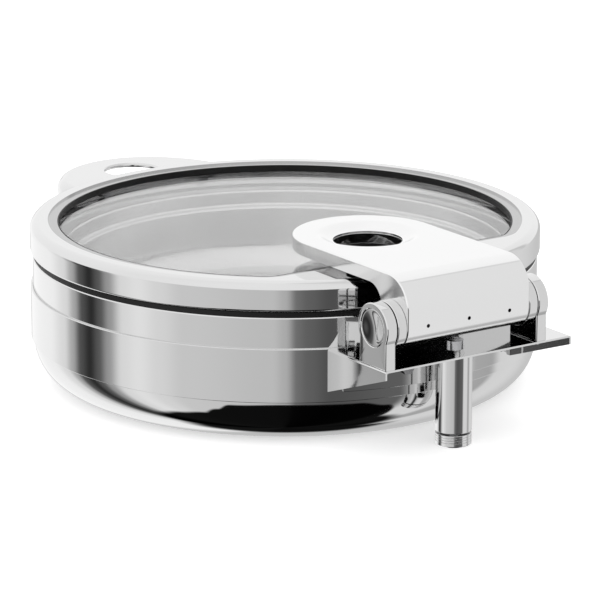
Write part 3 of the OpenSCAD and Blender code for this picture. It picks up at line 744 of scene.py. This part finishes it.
@dataclass
class Hood:
    """The hood over the hinge: a round head with a dished hole, and a back that wraps the barrel.

    Attributes:
        sheet: thickness of the hood's sheet.
        rim_drop: depth of the turned-down edge.
        bend: rounding from the top into the back.
        wrap_r: radius of the wrap about the hinge axis.
        wrap: angle that the hood wraps below the axis.
        crease: rounding of the edge between the top and the turned-down edge.
        cheek: radius of the cheek's concave curve.
        cheek_back: distance from the cheek's front to the hinge axis.
        join: distance from the bowl's axis to where head and back meet.
        dish_r: radius of the dish.
        hole_r: radius of its hole.
        dish_drop: its depth.
    """

    sheet: float = 1.5 * MM
    rim_drop: float = 11 * MM
    bend: float = 25 * MM
    wrap_r: float = 19 * MM
    wrap: float = math.radians(37)
    crease: float = 1.3 * MM
    cheek: float = 16 * MM
    cheek_back: float = 14 * MM
    join: float = 200 * MM
    dish_r: float = 41 * MM
    hole_r: float = 27 * MM
    dish_drop: float = 5 * MM

    def __post_init__(self) -> None:
        """Reads the hood's middle, half width, heights and dish, and the axis, from the frame."""
        low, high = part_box("hinge_hood")
        self.middle = (low.x + high.x) / 2
        self.half = (high.x - low.x) / 2
        self.top = high.z
        self.head_y = low.y + self.half
        low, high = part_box("dish_sleeve")
        self.dish_y = (low.y + high.y) / 2
        self.axis_y, self.axis_z = hinge_axis()

    def outline(self, angle: np.ndarray) -> tuple[np.ndarray, np.ndarray, np.ndarray]:
        """Distance from the dish's centre to the head's outline.

        It is the least of the ray's crossings with the head's circle, where that lies in front of
        the circle's centre, with the straight sides, and with the line where the back begins.

        Args:
            angle: ray angles.

        Returns:
            The distance, the cosine between the ray and the outline's normal, and whether the ray
            ends on the back line.
        """
        sine, cosine = np.sin(angle), np.cos(angle)
        lead = self.dish_y - self.head_y
        along = -sine * lead
        circle = along + np.sqrt(along ** 2 - lead ** 2 + self.half ** 2)
        behind = lead + circle * sine > 0
        side = self.half / np.maximum(np.abs(cosine), LEAST)
        back = np.where(sine > LEAST, (self.join - self.dish_y) / np.maximum(sine, LEAST),
                        NO_CROSSING)
        flank = np.where(behind, side, circle)
        distance = np.minimum(flank, back)
        normal = np.where(behind, np.abs(cosine), (circle + lead * sine) / self.half)
        on_back = back < flank
        return distance, np.where(on_back, sine, normal), on_back

    def head_grid(self) -> Grid:
        """Head: dish, flat top, creased edge and turned-down rim, then the same inside.

        Each ray from the dish's centre carries one section. The dish is a half cosine wave from
        its hole to its rim. Rays that end on the back line have no rim there.
        """
        corner = math.atan2(self.join - self.dish_y, self.half)
        nudge = 1e-5
        angle = np.unique(np.concatenate([
            np.linspace(0, TURN, 361)[:-1],
            [corner - nudge, corner + nudge, math.pi - corner - nudge, math.pi - corner + nudge]]))
        distance, normal, on_back = (part[:, None] for part in self.outline(angle))
        normal = np.maximum(normal, 0.3)
        crease = np.where(on_back, 0.02 * MM, self.crease)
        rim = np.where(on_back, self.top - self.sheet, self.top - self.rim_drop)
        wave = np.linspace(0, 1, 14)[None, :]
        dish_radius = self.hole_r + wave * (self.dish_r - self.hole_r)
        dish_height = self.top - self.dish_drop * (1 + np.cos(math.pi * wave)) / 2
        turn = np.linspace(0, math.pi / 2, 7)[None, :]
        ones = np.ones_like(distance)
        tight = np.maximum(crease - self.sheet, 0.05 * MM)
        columns = [
            (ones * (self.hole_r + 0.2 * MM), ones * (self.top - self.dish_drop - self.sheet)),
            (ones * dish_radius, ones * dish_height),
            (distance - crease * (1 - np.sin(turn)) / normal,
             self.top - crease * (1 - np.cos(turn))),
            (distance, rim),
            (distance - self.sheet / normal, rim),
            (distance - (self.sheet + tight * (1 - np.sin(turn[:, ::-1]))) / normal,
             self.top - self.sheet - tight * (1 - np.cos(turn[:, ::-1]))),
            (ones * (dish_radius[:, ::-1] + 0.4 * MM), ones * (dish_height[:, ::-1] - self.sheet)),
        ]
        return rays(Axes((self.middle, self.dish_y, 0)), angle, columns)

    def back_grid(self) -> Grid:
        """Back: the top runs on, bends down and wraps the barrel, with a cheek at each side.

        The skin is a path in the middle plane: a line, an arc of the bend, a line and an arc of
        the wrap. Each station of the path carries one section across: up the cheek from its lower
        edge, round the crease, across, and down the other cheek, then the same one sheet inside.
        """
        back = self.axis_y + self.wrap_r
        bend_y, bend_z = back - self.bend, self.top - self.bend
        run_steps = 24
        run = np.linspace(self.join, bend_y, run_steps)
        turn = np.linspace(math.pi / 2, 0, 28)[1:]
        fall = np.linspace(bend_z, self.axis_z, 6)[1:]
        under = np.linspace(0, -self.wrap, 16)[1:]
        skin = np.concatenate([
            np.stack([run, np.full_like(run, self.top)], 1),
            np.stack([bend_y + self.bend * np.cos(turn), bend_z + self.bend * np.sin(turn)], 1),
            np.stack([np.full_like(fall, back), fall], 1),
            np.stack([self.axis_y + self.wrap_r * np.cos(under),
                      self.axis_z + self.wrap_r * np.sin(under)], 1)])
        along = np.gradient(skin, axis=0)
        along /= np.linalg.norm(along, axis=1, keepdims=True)
        inward = np.stack([along[:, 1], -along[:, 0]], 1)
        front = self.axis_y - self.cheek_back
        rim = self.top - self.rim_drop
        reach_y = np.clip(skin[:, 0] - (front - self.cheek), 0, self.cheek)
        lower = rim - self.cheek + np.sqrt(self.cheek ** 2 - reach_y ** 2)
        path = np.concatenate([[0], np.cumsum(np.linalg.norm(np.diff(skin, axis=0), axis=1))])
        start = np.interp(front, skin[:run_steps, 0], path[:run_steps])
        share = np.clip((path - start) / (path[-1] - start), 0, 1)
        spoke = math.atan2(rim - self.cheek - self.axis_z, -self.cheek_back)
        swing = spoke + share * (-self.wrap - spoke)
        inner_r = self.wrap_r - 3 * MM
        hub = np.stack([self.axis_y + inner_r * np.cos(swing),
                        self.axis_z + inner_r * np.sin(swing)], 1)
        edge = np.where((skin[:, 0] <= front)[:, None] & (path <= start)[:, None],
                        np.stack([skin[:, 0], lower], 1), hub)
        across = 7
        crease = np.linspace(0, math.pi / 2, across)
        side = self.half - self.crease * (1 - np.cos(crease))
        drop = self.crease * (1 - np.sin(crease))
        inner_side = self.half - self.sheet
        out_x = np.concatenate([[-self.half], -side, side[::-1], [self.half]])
        in_x = np.repeat([inner_side, -inner_side], across + 1)
        out_drop = np.concatenate([[0], drop, drop[::-1], [0]])
        in_drop = np.full(len(in_x), self.sheet)
        is_edge = np.zeros(len(in_x), bool)
        is_edge[[0, -1]] = True
        x = np.concatenate([out_x, in_x]) + self.middle
        depth = np.concatenate([out_drop, in_drop])
        at_edge = np.concatenate([is_edge, is_edge])
        flat = skin[:, None, :] + depth[None, :, None] * inward[:, None, :]
        flat = np.where(at_edge[None, :, None], edge[:, None, :], flat)
        points = np.concatenate([np.broadcast_to(x[None, :, None], (*flat.shape[:2], 1)), flat], 2)
        return Grid(points, wrap_rows=False, cap_ends=True)

    def grub_holes(self) -> list[Grid]:
        """Three plain rods along Y, one at each grub screw, that run out through the back."""
        low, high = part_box("hood_screws")
        radius = (high.z - low.z) / 2
        pitch = (high.x - low.x) / 2 - radius
        rod = np.array([(0, 0), (radius, 0), (radius, 6 * MM), (0, 6 * MM)])
        start = self.axis_y + self.wrap_r - 4 * MM
        return [revolved(rod, Axes((self.middle + step * pitch, start, self.axis_z), (1, 0, 0),
                                   (0, 1, 0)), 32) for step in (-1, 0, 1)]

    def build(self, shop: Workshop) -> None:
        """Makes the hood of its two halves, drilled for its screws, and the sleeve under the dish."""
        cover = shop.piece("hinge_cover", [self.head_grid()], Material.HOOD, "lid", "hinge_hood")
        add_shell(cover, drilled(self.back_grid(), self.grub_holes()))
        low, high = levels("dish_sleeve")
        ring = rounded_ring(self.hole_r, reach("dish_sleeve"), low, high, 0.4 * MM)
        axes = Axes((self.middle, self.dish_y, 0))
        shop.piece("dish_collar", [revolved(ring, axes, SMALL_STEPS)], Material.MIRROR, "lid",
                   "dish_sleeve")


# ---- Hinge -----------------------------------------------------------------


@dataclass
class Hinge:
    """Ears, end caps and collars, all on the hinge axis.

    Attributes:
        bore: radius of the hole for the shaft.
        cap_r: radius of the end caps.
        recess: depth of the ear's recess.
        base: width of an ear where it stands on the shelf.
        edge: rounding of the ears' outer edges.
    """

    bore: float = 5 * MM
    cap_r: float = 14.5 * MM
    recess: float = 2.5 * MM
    base: float = 33 * MM
    edge: float = 1.2 * MM

    def __post_init__(self) -> None:
        """Reads the axis and the ears' radius from the frame."""
        self.y, self.z = hinge_axis()
        low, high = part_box("ear_left")
        self.radius = high.z - self.z
        self.foot = self.z - low.z

    def axes(self, x: float, side: int) -> Axes:
        """Frame on the hinge axis, with heights measured outwards from x on that side."""
        return Axes((x, self.y, self.z), (0, side, 0), (side, 0, 0))

    def ear_outline(self, angle: np.ndarray) -> np.ndarray:
        """Distance from the axis to the ear's outline.

        It is the greater of the head's radius and, for rays that point down, the crossing with
        the base: half its width over the cosine, or the axis's height over the sine.
        """
        down = np.maximum(-np.sin(angle), LEAST)
        sideways = np.maximum(np.abs(np.cos(angle)), LEAST)
        box = np.minimum(self.base / 2 / sideways, self.foot / down)
        return np.where(np.sin(angle) < 0, np.maximum(self.radius, box), self.radius)

    def ear(self, node: str, side: int) -> Grid:
        """Ear: recess, ring face, rounded edge, back face and bore.

        Args:
            node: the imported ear.
            side: 1 for the left one, -1 for the right one.

        Returns:
            The closed grid. Every ray from the axis carries one section, whose outer points keep
            their distance from the outline.
        """
        low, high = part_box(node)
        inner, outer = (low.x, high.x) if side > 0 else (high.x, low.x)
        thick = abs(outer - inner)
        corner = math.atan2(self.foot, self.base / 2)
        neck = math.acos(self.base / 2 / self.radius)
        angle = np.unique(np.concatenate([np.linspace(0, TURN, 289)[:-1],
                                          [-corner % TURN, math.pi + corner,
                                           -neck % TURN, math.pi + neck]]))
        turn = np.linspace(0, math.pi / 2, 7)
        soft = 0.5 * MM
        seat = self.cap_r + 0.1 * MM
        inset = np.concatenate([self.edge * (1 - np.sin(turn)), self.edge * (1 - np.cos(turn))])
        face = np.concatenate([thick - self.edge * (1 - np.cos(turn)),
                               self.edge * (1 - np.sin(turn))])
        head_r = [self.bore, seat, seat, seat + soft]
        head_h = [thick - self.recess, thick - self.recess, thick - soft, thick]
        outline = self.ear_outline(angle)[:, None]
        radial = np.concatenate([np.broadcast_to(head_r, (len(angle), 4)), outline - inset,
                                 np.full((len(angle), 1), self.bore)], 1)
        height = np.broadcast_to(np.concatenate([head_h, face, [0]]), radial.shape)
        axes = Axes((inner, self.y, self.z), (0, 1, 0), (1, 0, 0))
        return Grid(axes.place(radial, angle[:, None], side * height))

    def cap(self, node: str, side: int) -> Grid:
        """End cap: a disc whose face is a shallow hollow inside a raised rounded rim."""
        low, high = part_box(node)
        inner, outer = (low.x, high.x) if side > 0 else (high.x, low.x)
        thick = abs(outer - inner)
        share = np.linspace(0, 1, 22)
        hollow = thick - 1.3 * MM * (1 - share ** 2) ** 1.5
        face = np.stack([share * (self.cap_r - 0.6 * MM), hollow], 1)
        rim = np.array([(self.cap_r - 0.25 * MM, thick - 0.15 * MM), (self.cap_r, thick - 0.6 * MM),
                        (self.cap_r, 0), (0, 0)])
        return revolved(np.concatenate([face, rim]), self.axes(inner, side), SMALL_STEPS)

    def collar(self, node: str, side: int) -> Grid:
        """Collar: a ring as wide as its polished part, its edges rounded."""
        low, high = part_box(node)
        outer = high.x if side > 0 else low.x
        hood_low, hood_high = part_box("hinge_hood")
        gap = 0.1 * MM
        width = (outer - hood_high.x if side > 0 else hood_low.x - outer) - gap
        section = rounded_ring(self.bore + 0.6 * MM, self.radius, 0, width, 0.7 * MM)
        return revolved(section, self.axes(outer - side * width, side), SMALL_STEPS)

    def build(self, shop: Workshop) -> None:
        """Makes the six pieces."""
        for word, side in (("left", 1), ("right", -1)):
            shop.piece(f"ear_plate_{word}", [self.ear(f"ear_{word}", side)], Material.MIRROR,
                       "base", f"ear_{word}")
            shop.piece(f"ear_cap_{word}", [self.cap(f"end_cap_{word}", side)], Material.MIRROR,
                       "base", f"end_cap_{word}")
            shop.piece(f"hinge_ring_{word}", [self.collar(f"collar_{word}", side)],
                       Material.MIRROR, "lid", f"collar_{word}")


# ---- Lid handle ------------------------------------------------------------


@dataclass
class Handle:
    """The loop handle: a shallow inverted tray with a round finger hole.

    Attributes:
        radius: radius of the outline.
        finger_r: radius of the finger hole.
        grip: width of the grip beyond the hole.
        wall: thickness of the shell.
        edge: rounding of the outer rim.
        tip_rim: depth of the rim at the tip.
        lid_r: radius of the lid's skirt.
    """

    radius: float = 81 * MM
    finger_r: float = 23 * MM
    grip: float = 24 * MM
    wall: float = 4 * MM
    edge: float = 9 * MM
    tip_rim: float = 5 * MM
    lid_r: float = field(default_factory=lambda: reach("lid_frame"))

    def tray(self) -> Grid:
        """Tray: hole edge, top, rounded rim or flange on the skirt, then the same inside.

        Every ray from the hole's centre carries one section. It ends at the nearer of the
        outline's circle and the skirt's circle, both from the quadratic of ray and circle, and
        wall thicknesses are divided by the cosine between ray and outline.
        """
        low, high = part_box("lid_handle")
        tip = low.y
        middle_y = tip + self.radius
        finger_y = tip + self.grip + self.finger_r
        angle = np.linspace(0, TURN, 720, endpoint=False)
        sine = np.sin(angle)
        shift = finger_y - middle_y
        along = sine * shift
        outer = -along + np.sqrt(along ** 2 - shift ** 2 + self.radius ** 2)
        toward = -sine * finger_y
        room = toward ** 2 - finger_y ** 2 + self.lid_r ** 2
        hits = (room > 0) & (toward > 0)
        skirt = np.where(hits, toward - np.sqrt(np.maximum(room, 0)), NO_CROSSING)
        distance = np.minimum(outer, skirt)
        on_skirt = skirt < outer
        outer_normal = (outer + shift * sine) / self.radius
        skirt_normal = np.sqrt(np.maximum(room, 0)) / self.lid_r
        normal = np.maximum(np.where(on_skirt, skirt_normal, outer_normal), 0.35)[:, None]
        distance = distance[:, None]
        edge = np.where(on_skirt, 0.6 * MM, self.edge)
        kernel = np.hanning(15) / np.hanning(15).sum()
        edge = np.convolve(np.concatenate([edge[-7:], edge, edge[:7]]), kernel, "valid")[:, None]
        inner = np.maximum(edge - self.wall, 0.5 * MM)
        turn = np.linspace(0, math.pi / 2, 12)[None, :]
        soft = 1.6 * MM
        bead = np.linspace(0, math.pi, 9)[None, :]
        ones = np.ones_like(distance)
        under = high.z - self.wall
        out = -(finger_y + distance * sine[:, None]) - self.lid_r
        share = np.clip(out / (-tip - self.lid_r), 0, 1)
        rim = low.z + share * (high.z - self.tip_rim - low.z)
        rim_in = np.minimum(rim, under - 0.3 * MM)
        edge = np.minimum(edge, high.z - rim - 0.2 * MM)
        inner = np.minimum(inner, under - rim_in)
        columns = [
            (ones * (self.finger_r + soft * (1 - np.sin(bead))),
             ones * (high.z - self.wall / 2 - self.wall / 2 * np.cos(bead))),
            (distance - edge * (1 - np.sin(turn)) / normal, high.z - edge * (1 - np.cos(turn))),
            (distance, rim),
            (distance - self.wall / normal, rim_in),
            (distance - (self.wall + inner * (1 - np.sin(turn[:, ::-1]))) / normal,
             under - inner * (1 - np.cos(turn[:, ::-1]))),
        ]
        columns = [(np.maximum(radial, self.finger_r), height) for radial, height in columns]
        return rays(Axes((0, finger_y, 0)), angle, columns)

    def build(self, shop: Workshop) -> None:
        """Makes the handle."""
        shop.piece("lid_grip", [self.tray()], Material.MIRROR, "lid", "lid_handle")


# ---- Shelf and leg ---------------------------------------------------------


@dataclass
class Support:
    """The shelf that carries the hinge, and the leg and foot under it.

    Attributes:
        band_r: radius of the band that the shelf seats on.
        sheet: thickness of the shelf's sheet.
        tip: depth of the side flange at its free end.
        root: depth of the side flange at the bowl.
        saddle: thickness of the curved flange on the band.
        saddle_half: half width of that flange.
        leg_wall: thickness of the leg's tube.
        grooves: heights of the foot's three grooves.
    """

    band_r: float = field(default_factory=lambda: reach("collar_band"))
    sheet: float = 1.5 * MM
    tip: float = 7 * MM
    root: float = 34 * MM
    saddle: float = 2.5 * MM
    saddle_half: float = 76.8 * MM
    leg_wall: float = 2 * MM
    grooves: tuple[float, ...] = (3.7 * MM, 5.7 * MM, 7.7 * MM)

    def shelf(self) -> list[Grid]:
        """Shelf: one sheet bent down at both sides, cut to the bowl at the back.

        The bent section runs across. Each of its points starts on the band's circle, or beside it
        on the flanges, and runs out to the free edge; the flanges' depth grows evenly from tip to
        root. The curved flange on the band is a ring's sector.
        """
        low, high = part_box("hinge_shelf")
        half = (high.x - low.x) / 2
        top, front = high.z, high.y
        bend = np.linspace(0, math.pi / 2, 6)
        in_r = 0.3 * MM
        out_r = self.sheet + in_r
        middle = np.linspace(-1, 1, 41)[1:-1] * (half - out_r)

        def face(inset: float, radius: float) -> tuple[np.ndarray, np.ndarray]:
            """One face's places across and drops; a drop of 1 stands for the flange's depth."""
            aside, down = radius * (1 - np.cos(bend)), inset + radius * (1 - np.sin(bend))
            return (np.concatenate([[-half + inset], -half + inset + aside, middle,
                                    half - inset - aside[::-1], [half - inset]]),
                    np.concatenate([[1], down, np.full(len(middle), inset), down[::-1], [1]]))

        (out_x, out_drop), (in_x, in_drop) = face(0, out_r), face(self.sheet, in_r)
        x = np.concatenate([out_x, in_x[::-1]])
        drop = np.concatenate([out_drop, in_drop[::-1]])
        start = np.sqrt(self.band_r ** 2 - np.minimum(np.abs(x), half - self.sheet) ** 2)
        start = np.where(np.abs(x) > half - out_r - 0.1 * MM, low.y, np.maximum(start, low.y))
        share = np.linspace(0, 1, 20)[:, None]
        y = start[None, :] + share * (front - start[None, :])
        depth = self.root + (self.tip - self.root) * (y - low.y) / (front - low.y)
        z = top - np.where(drop[None, :] >= 1, depth, drop[None, :])
        sheet = Grid(np.stack([np.broadcast_to(x, y.shape), y, z], 2), False, True)
        spread = math.asin(self.saddle_half / self.band_r)
        angle = np.linspace(math.pi / 2 - spread, math.pi / 2 + spread, 60)
        ring = rounded_ring(self.band_r, self.band_r + self.saddle, low.z, top - self.sheet, 0.4 * MM)
        points = Axes((0, 0, 0)).place(ring[None, :, 0], angle[:, None], ring[None, :, 1])
        return [sheet, Grid(points, False, True)]

    def leg(self) -> tuple[Grid, Grid]:
        """Leg tube with rounded ends, and the foot with three grooves, a chamfer and its stud."""
        low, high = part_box("leg_tube")
        radius = (high.x - low.x) / 2
        centre = ((high.x + low.x) / 2, (high.y + low.y) / 2, 0)
        tube = rounded_ring(radius - self.leg_wall, radius, low.z, high.z, 0.5 * MM)
        foot_low, foot_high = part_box("levelling_foot")
        cap_top = 9.5 * MM
        depth, half = 0.45 * MM, 0.35 * MM
        groove = [(radius - d, g + s * half) for g in self.grooves
                  for s, d in ((-1, 0), (-0.6, depth), (0.6, depth), (1, 0))]
        stud = 5 * MM
        corners = [(0, 2 * MM), (radius - 3.5 * MM, 2 * MM), (radius - 3.5 * MM, foot_low.z),
                   (radius - 0.9 * MM, foot_low.z), (radius, foot_low.z + 0.9 * MM), *groove,
                   (radius, cap_top), (stud, cap_top), (stud, foot_high.z), (0, foot_high.z)]
        radii = [0, 0, 0, 0.3 * MM, 0.3 * MM, *[0.05 * MM] * len(groove), 0.4 * MM, 0, 0.5 * MM, 0]
        foot = tidy_path(rounded_path(corners, radii, True, 4))
        return revolved(tube, Axes(centre), SMALL_STEPS), revolved(foot, Axes(centre), SMALL_STEPS)

    def build(self, shop: Workshop) -> None:
        """Makes the shelf, the leg and the foot."""
        shop.piece("hinge_bracket", self.shelf(), Material.MIRROR, "base", "hinge_shelf")
        tube, foot = self.leg()
        shop.piece("prop_leg", [tube], Material.MIRROR, "base", "leg_tube")
        shop.piece("screw_foot", [foot], Material.MIRROR, "foot", "levelling_foot")


# ---- Studio ----------------------------------------------------------------


@dataclass
class Studio:
    """Camera, floor and surrounding light.

    Attributes:
        azimuth: camera's turn round the chafer, in degrees from its front.
        elevation: camera's height above the table, in degrees.
        distance: camera's distance from the point it looks at.
        aim: that point.
        lens: focal length in millimetres on a 36 mm sensor.
        shift: the picture's framing, as shares of its width.
        bands: brightness of the surround below the horizon, as (azimuth in degrees, level).
        upper: the same above the horizon.
        dark_below: where the dark table edge starts below the horizon, as (azimuth in degrees,
            sine of the angle below the horizon).
    """

    azimuth: float = 145.67
    elevation: float = 15.07
    distance: float = 3.0
    aim: tuple[float, float, float] = (0, 0, 0.084)
    lens: float = 222.97
    shift: tuple[float, float] = (0.0251, -0.0454)
    bands: tuple[tuple[float, float], ...] = (
        (-180, 0.85), (-140, 0.62), (-118, 0.62), (-106, 1.1), (-76, 1.1), (-62, 0.9),
        (-55, 0.5), (-49, 0.1), (-42, 0.03), (-36, 0.12), (-30, 0.4), (-22, 0.9), (-13, 0.98),
        (-2, 0.86), (10, 0.74), (50, 0.66), (56, 0.54), (61, 0.2), (66, 0.15), (76, 0.1),
        (108, 0.14), (119, 0.84), (142, 0.85), (150, 0.5), (160, 0.48), (168, 0.84), (180, 0.85))
    upper: tuple[tuple[float, float], ...] = (
        (-180, 0.86), (-172, 0.7), (-166, 1.02), (-110, 1.06), (-60, 1.04), (-20, 1.0), (30, 1.02),
        (80, 0.98), (110, 0.84), (180, 0.84))
    dark_below: tuple[tuple[float, float], ...] = (
        (-180, 0.9), (-60, 0.92), (-30, 0.82), (-8, 0.78), (10, 0.74), (22, 0.6), (30, 0.42),
        (54, 0.36), (90, 0.4), (106, 0.55), (125, 0.85), (180, 0.93))

    def camera(self) -> None:
        """Places the camera on its ray from the aim point and makes it the scene's camera."""
        turn, rise = math.radians(self.azimuth), math.radians(self.elevation)
        back = Vector((math.sin(turn) * math.cos(rise), -math.cos(turn) * math.cos(rise),
                       math.sin(rise)))
        data = bpy.data.cameras.new("camera")
        data.lens = self.lens
        data.shift_x, data.shift_y = self.shift
        data.clip_end = 60
        camera = bpy.data.objects.new("camera", data)
        camera.location = Vector(self.aim) + back * self.distance
        camera.rotation_euler = back.to_track_quat("Z", "Y").to_euler()
        bpy.context.scene.collection.objects.link(camera)
        bpy.context.scene.camera = camera

    def floor(self) -> None:
        """A plain pale floor that the polished steel doesn't mirror."""
        span = 12.0
        mesh = bpy.data.meshes.new("floor")
        mesh.from_pydata([(-span, -span, 0), (span, -span, 0), (span, span, 0), (-span, span, 0)],
                         [], [(0, 1, 2, 3)])
        floor = bpy.data.objects.new("floor", mesh)
        material = bpy.data.materials.new("pale matt floor")
        material.use_nodes = True
        shader = material.node_tree.nodes["Principled BSDF"]
        shader.inputs["Base Color"].default_value = linear("#FAFAFA")
        shader.inputs["Roughness"].default_value = 1.0
        shader.inputs["Specular IOR Level"].default_value = 0.0
        shader.inputs["Emission Color"].default_value = linear("#FFFFFF")
        shader.inputs["Emission Strength"].default_value = 0.5
        mesh.materials.append(material)
        floor.visible_glossy = False
        bpy.context.scene.collection.objects.link(floor)

    def ramp(self, tree: bpy.types.NodeTree, place: bpy.types.NodeSocket,
             levels_at: tuple[tuple[float, float], ...]) -> bpy.types.NodeSocket:
        """A ramp over azimuth.

        Args:
            tree: the world's node tree.
            place: azimuth from 0 at -180 degrees to 1 at 180 degrees.
            levels_at: the ramp's stops, as (azimuth in degrees, level).

        Returns:
            The level at that azimuth.
        """
        ramp = add_node(tree, "ShaderNodeValToRGB", {"Fac": place})
        stops = ramp.color_ramp.elements
        for degrees, _ in levels_at[1:-1]:
            stops.new((degrees + 180) / 360)
        for stop, (degrees, level) in zip(stops, levels_at):
            stop.position = (degrees + 180) / 360
            stop.color = (level, level, level, 1)
        ramp.color_ramp.interpolation = "EASE"
        return ramp.outputs["Color"]

    def surround(self) -> None:
        """White above; soft vertical bands below the horizon; a dark table edge further down.

        The direction's height, its sine above the horizon, picks between them: above zero the
        upper ramp, then the bands, and below minus the third ramp's sine the dark.
        """
        world = bpy.data.worlds.new("studio surround")
        bpy.context.scene.world = world
        world.use_nodes = True
        tree = world.node_tree
        tree.nodes.clear()
        ray = add_node(tree, "ShaderNodeTexCoord").outputs["Generated"]
        part = add_node(tree, "ShaderNodeSeparateXYZ", {0: ray}).outputs
        azimuth = add_node(tree, "ShaderNodeMath", {0: part["Y"], 1: part["X"]},
                           operation="ARCTAN2").outputs[0]
        place = add_node(tree, "ShaderNodeMapRange",
                         {"Value": azimuth, "From Min": -math.pi, "From Max": math.pi}).outputs[0]
        depth = add_node(tree, "ShaderNodeMath",
                         {0: part["Z"], 1: self.ramp(tree, place, self.dark_below)},
                         operation="ADD").outputs[0]
        dark = add_node(tree, "ShaderNodeMapRange",
                        {"Value": depth, "From Min": -0.03, "From Max": 0.03,
                         "To Min": 0.008, "To Max": 1.0}, interpolation_type="SMOOTHSTEP").outputs[0]
        lower = add_node(tree, "ShaderNodeMath",
                         {0: self.ramp(tree, place, self.bands), 1: dark},
                         operation="MULTIPLY").outputs[0]
        above = add_node(tree, "ShaderNodeMapRange",
                         {"Value": part["Z"], "From Min": -0.02, "From Max": 0.02},
                         interpolation_type="SMOOTHSTEP").outputs[0]
        level = add_node(tree, "ShaderNodeMix",
                         {0: above, 2: lower, 3: self.ramp(tree, place, self.upper)}).outputs[0]
        light = add_node(tree, "ShaderNodeBackground", {"Color": level, "Strength": 1.0})
        add_node(tree, "ShaderNodeOutputWorld", {"Surface": light.outputs[0]})

    def build(self) -> None:
        """Sets up the camera, the floor and the surround."""
        self.camera()
        self.floor()
        self.surround()
        bpy.context.scene.view_settings.view_transform = "Standard"


def main() -> None:
    """Builds the studio and every sub-assembly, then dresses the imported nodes."""
    Studio().build()
    shop = Workshop()
    for part in (Bowl(), Pans(), Lid(), Hood(), Hinge(), Handle(), Support()):
        part.build(shop)
    shop.dress_nodes()


if __name__ == "__main__":
    main()
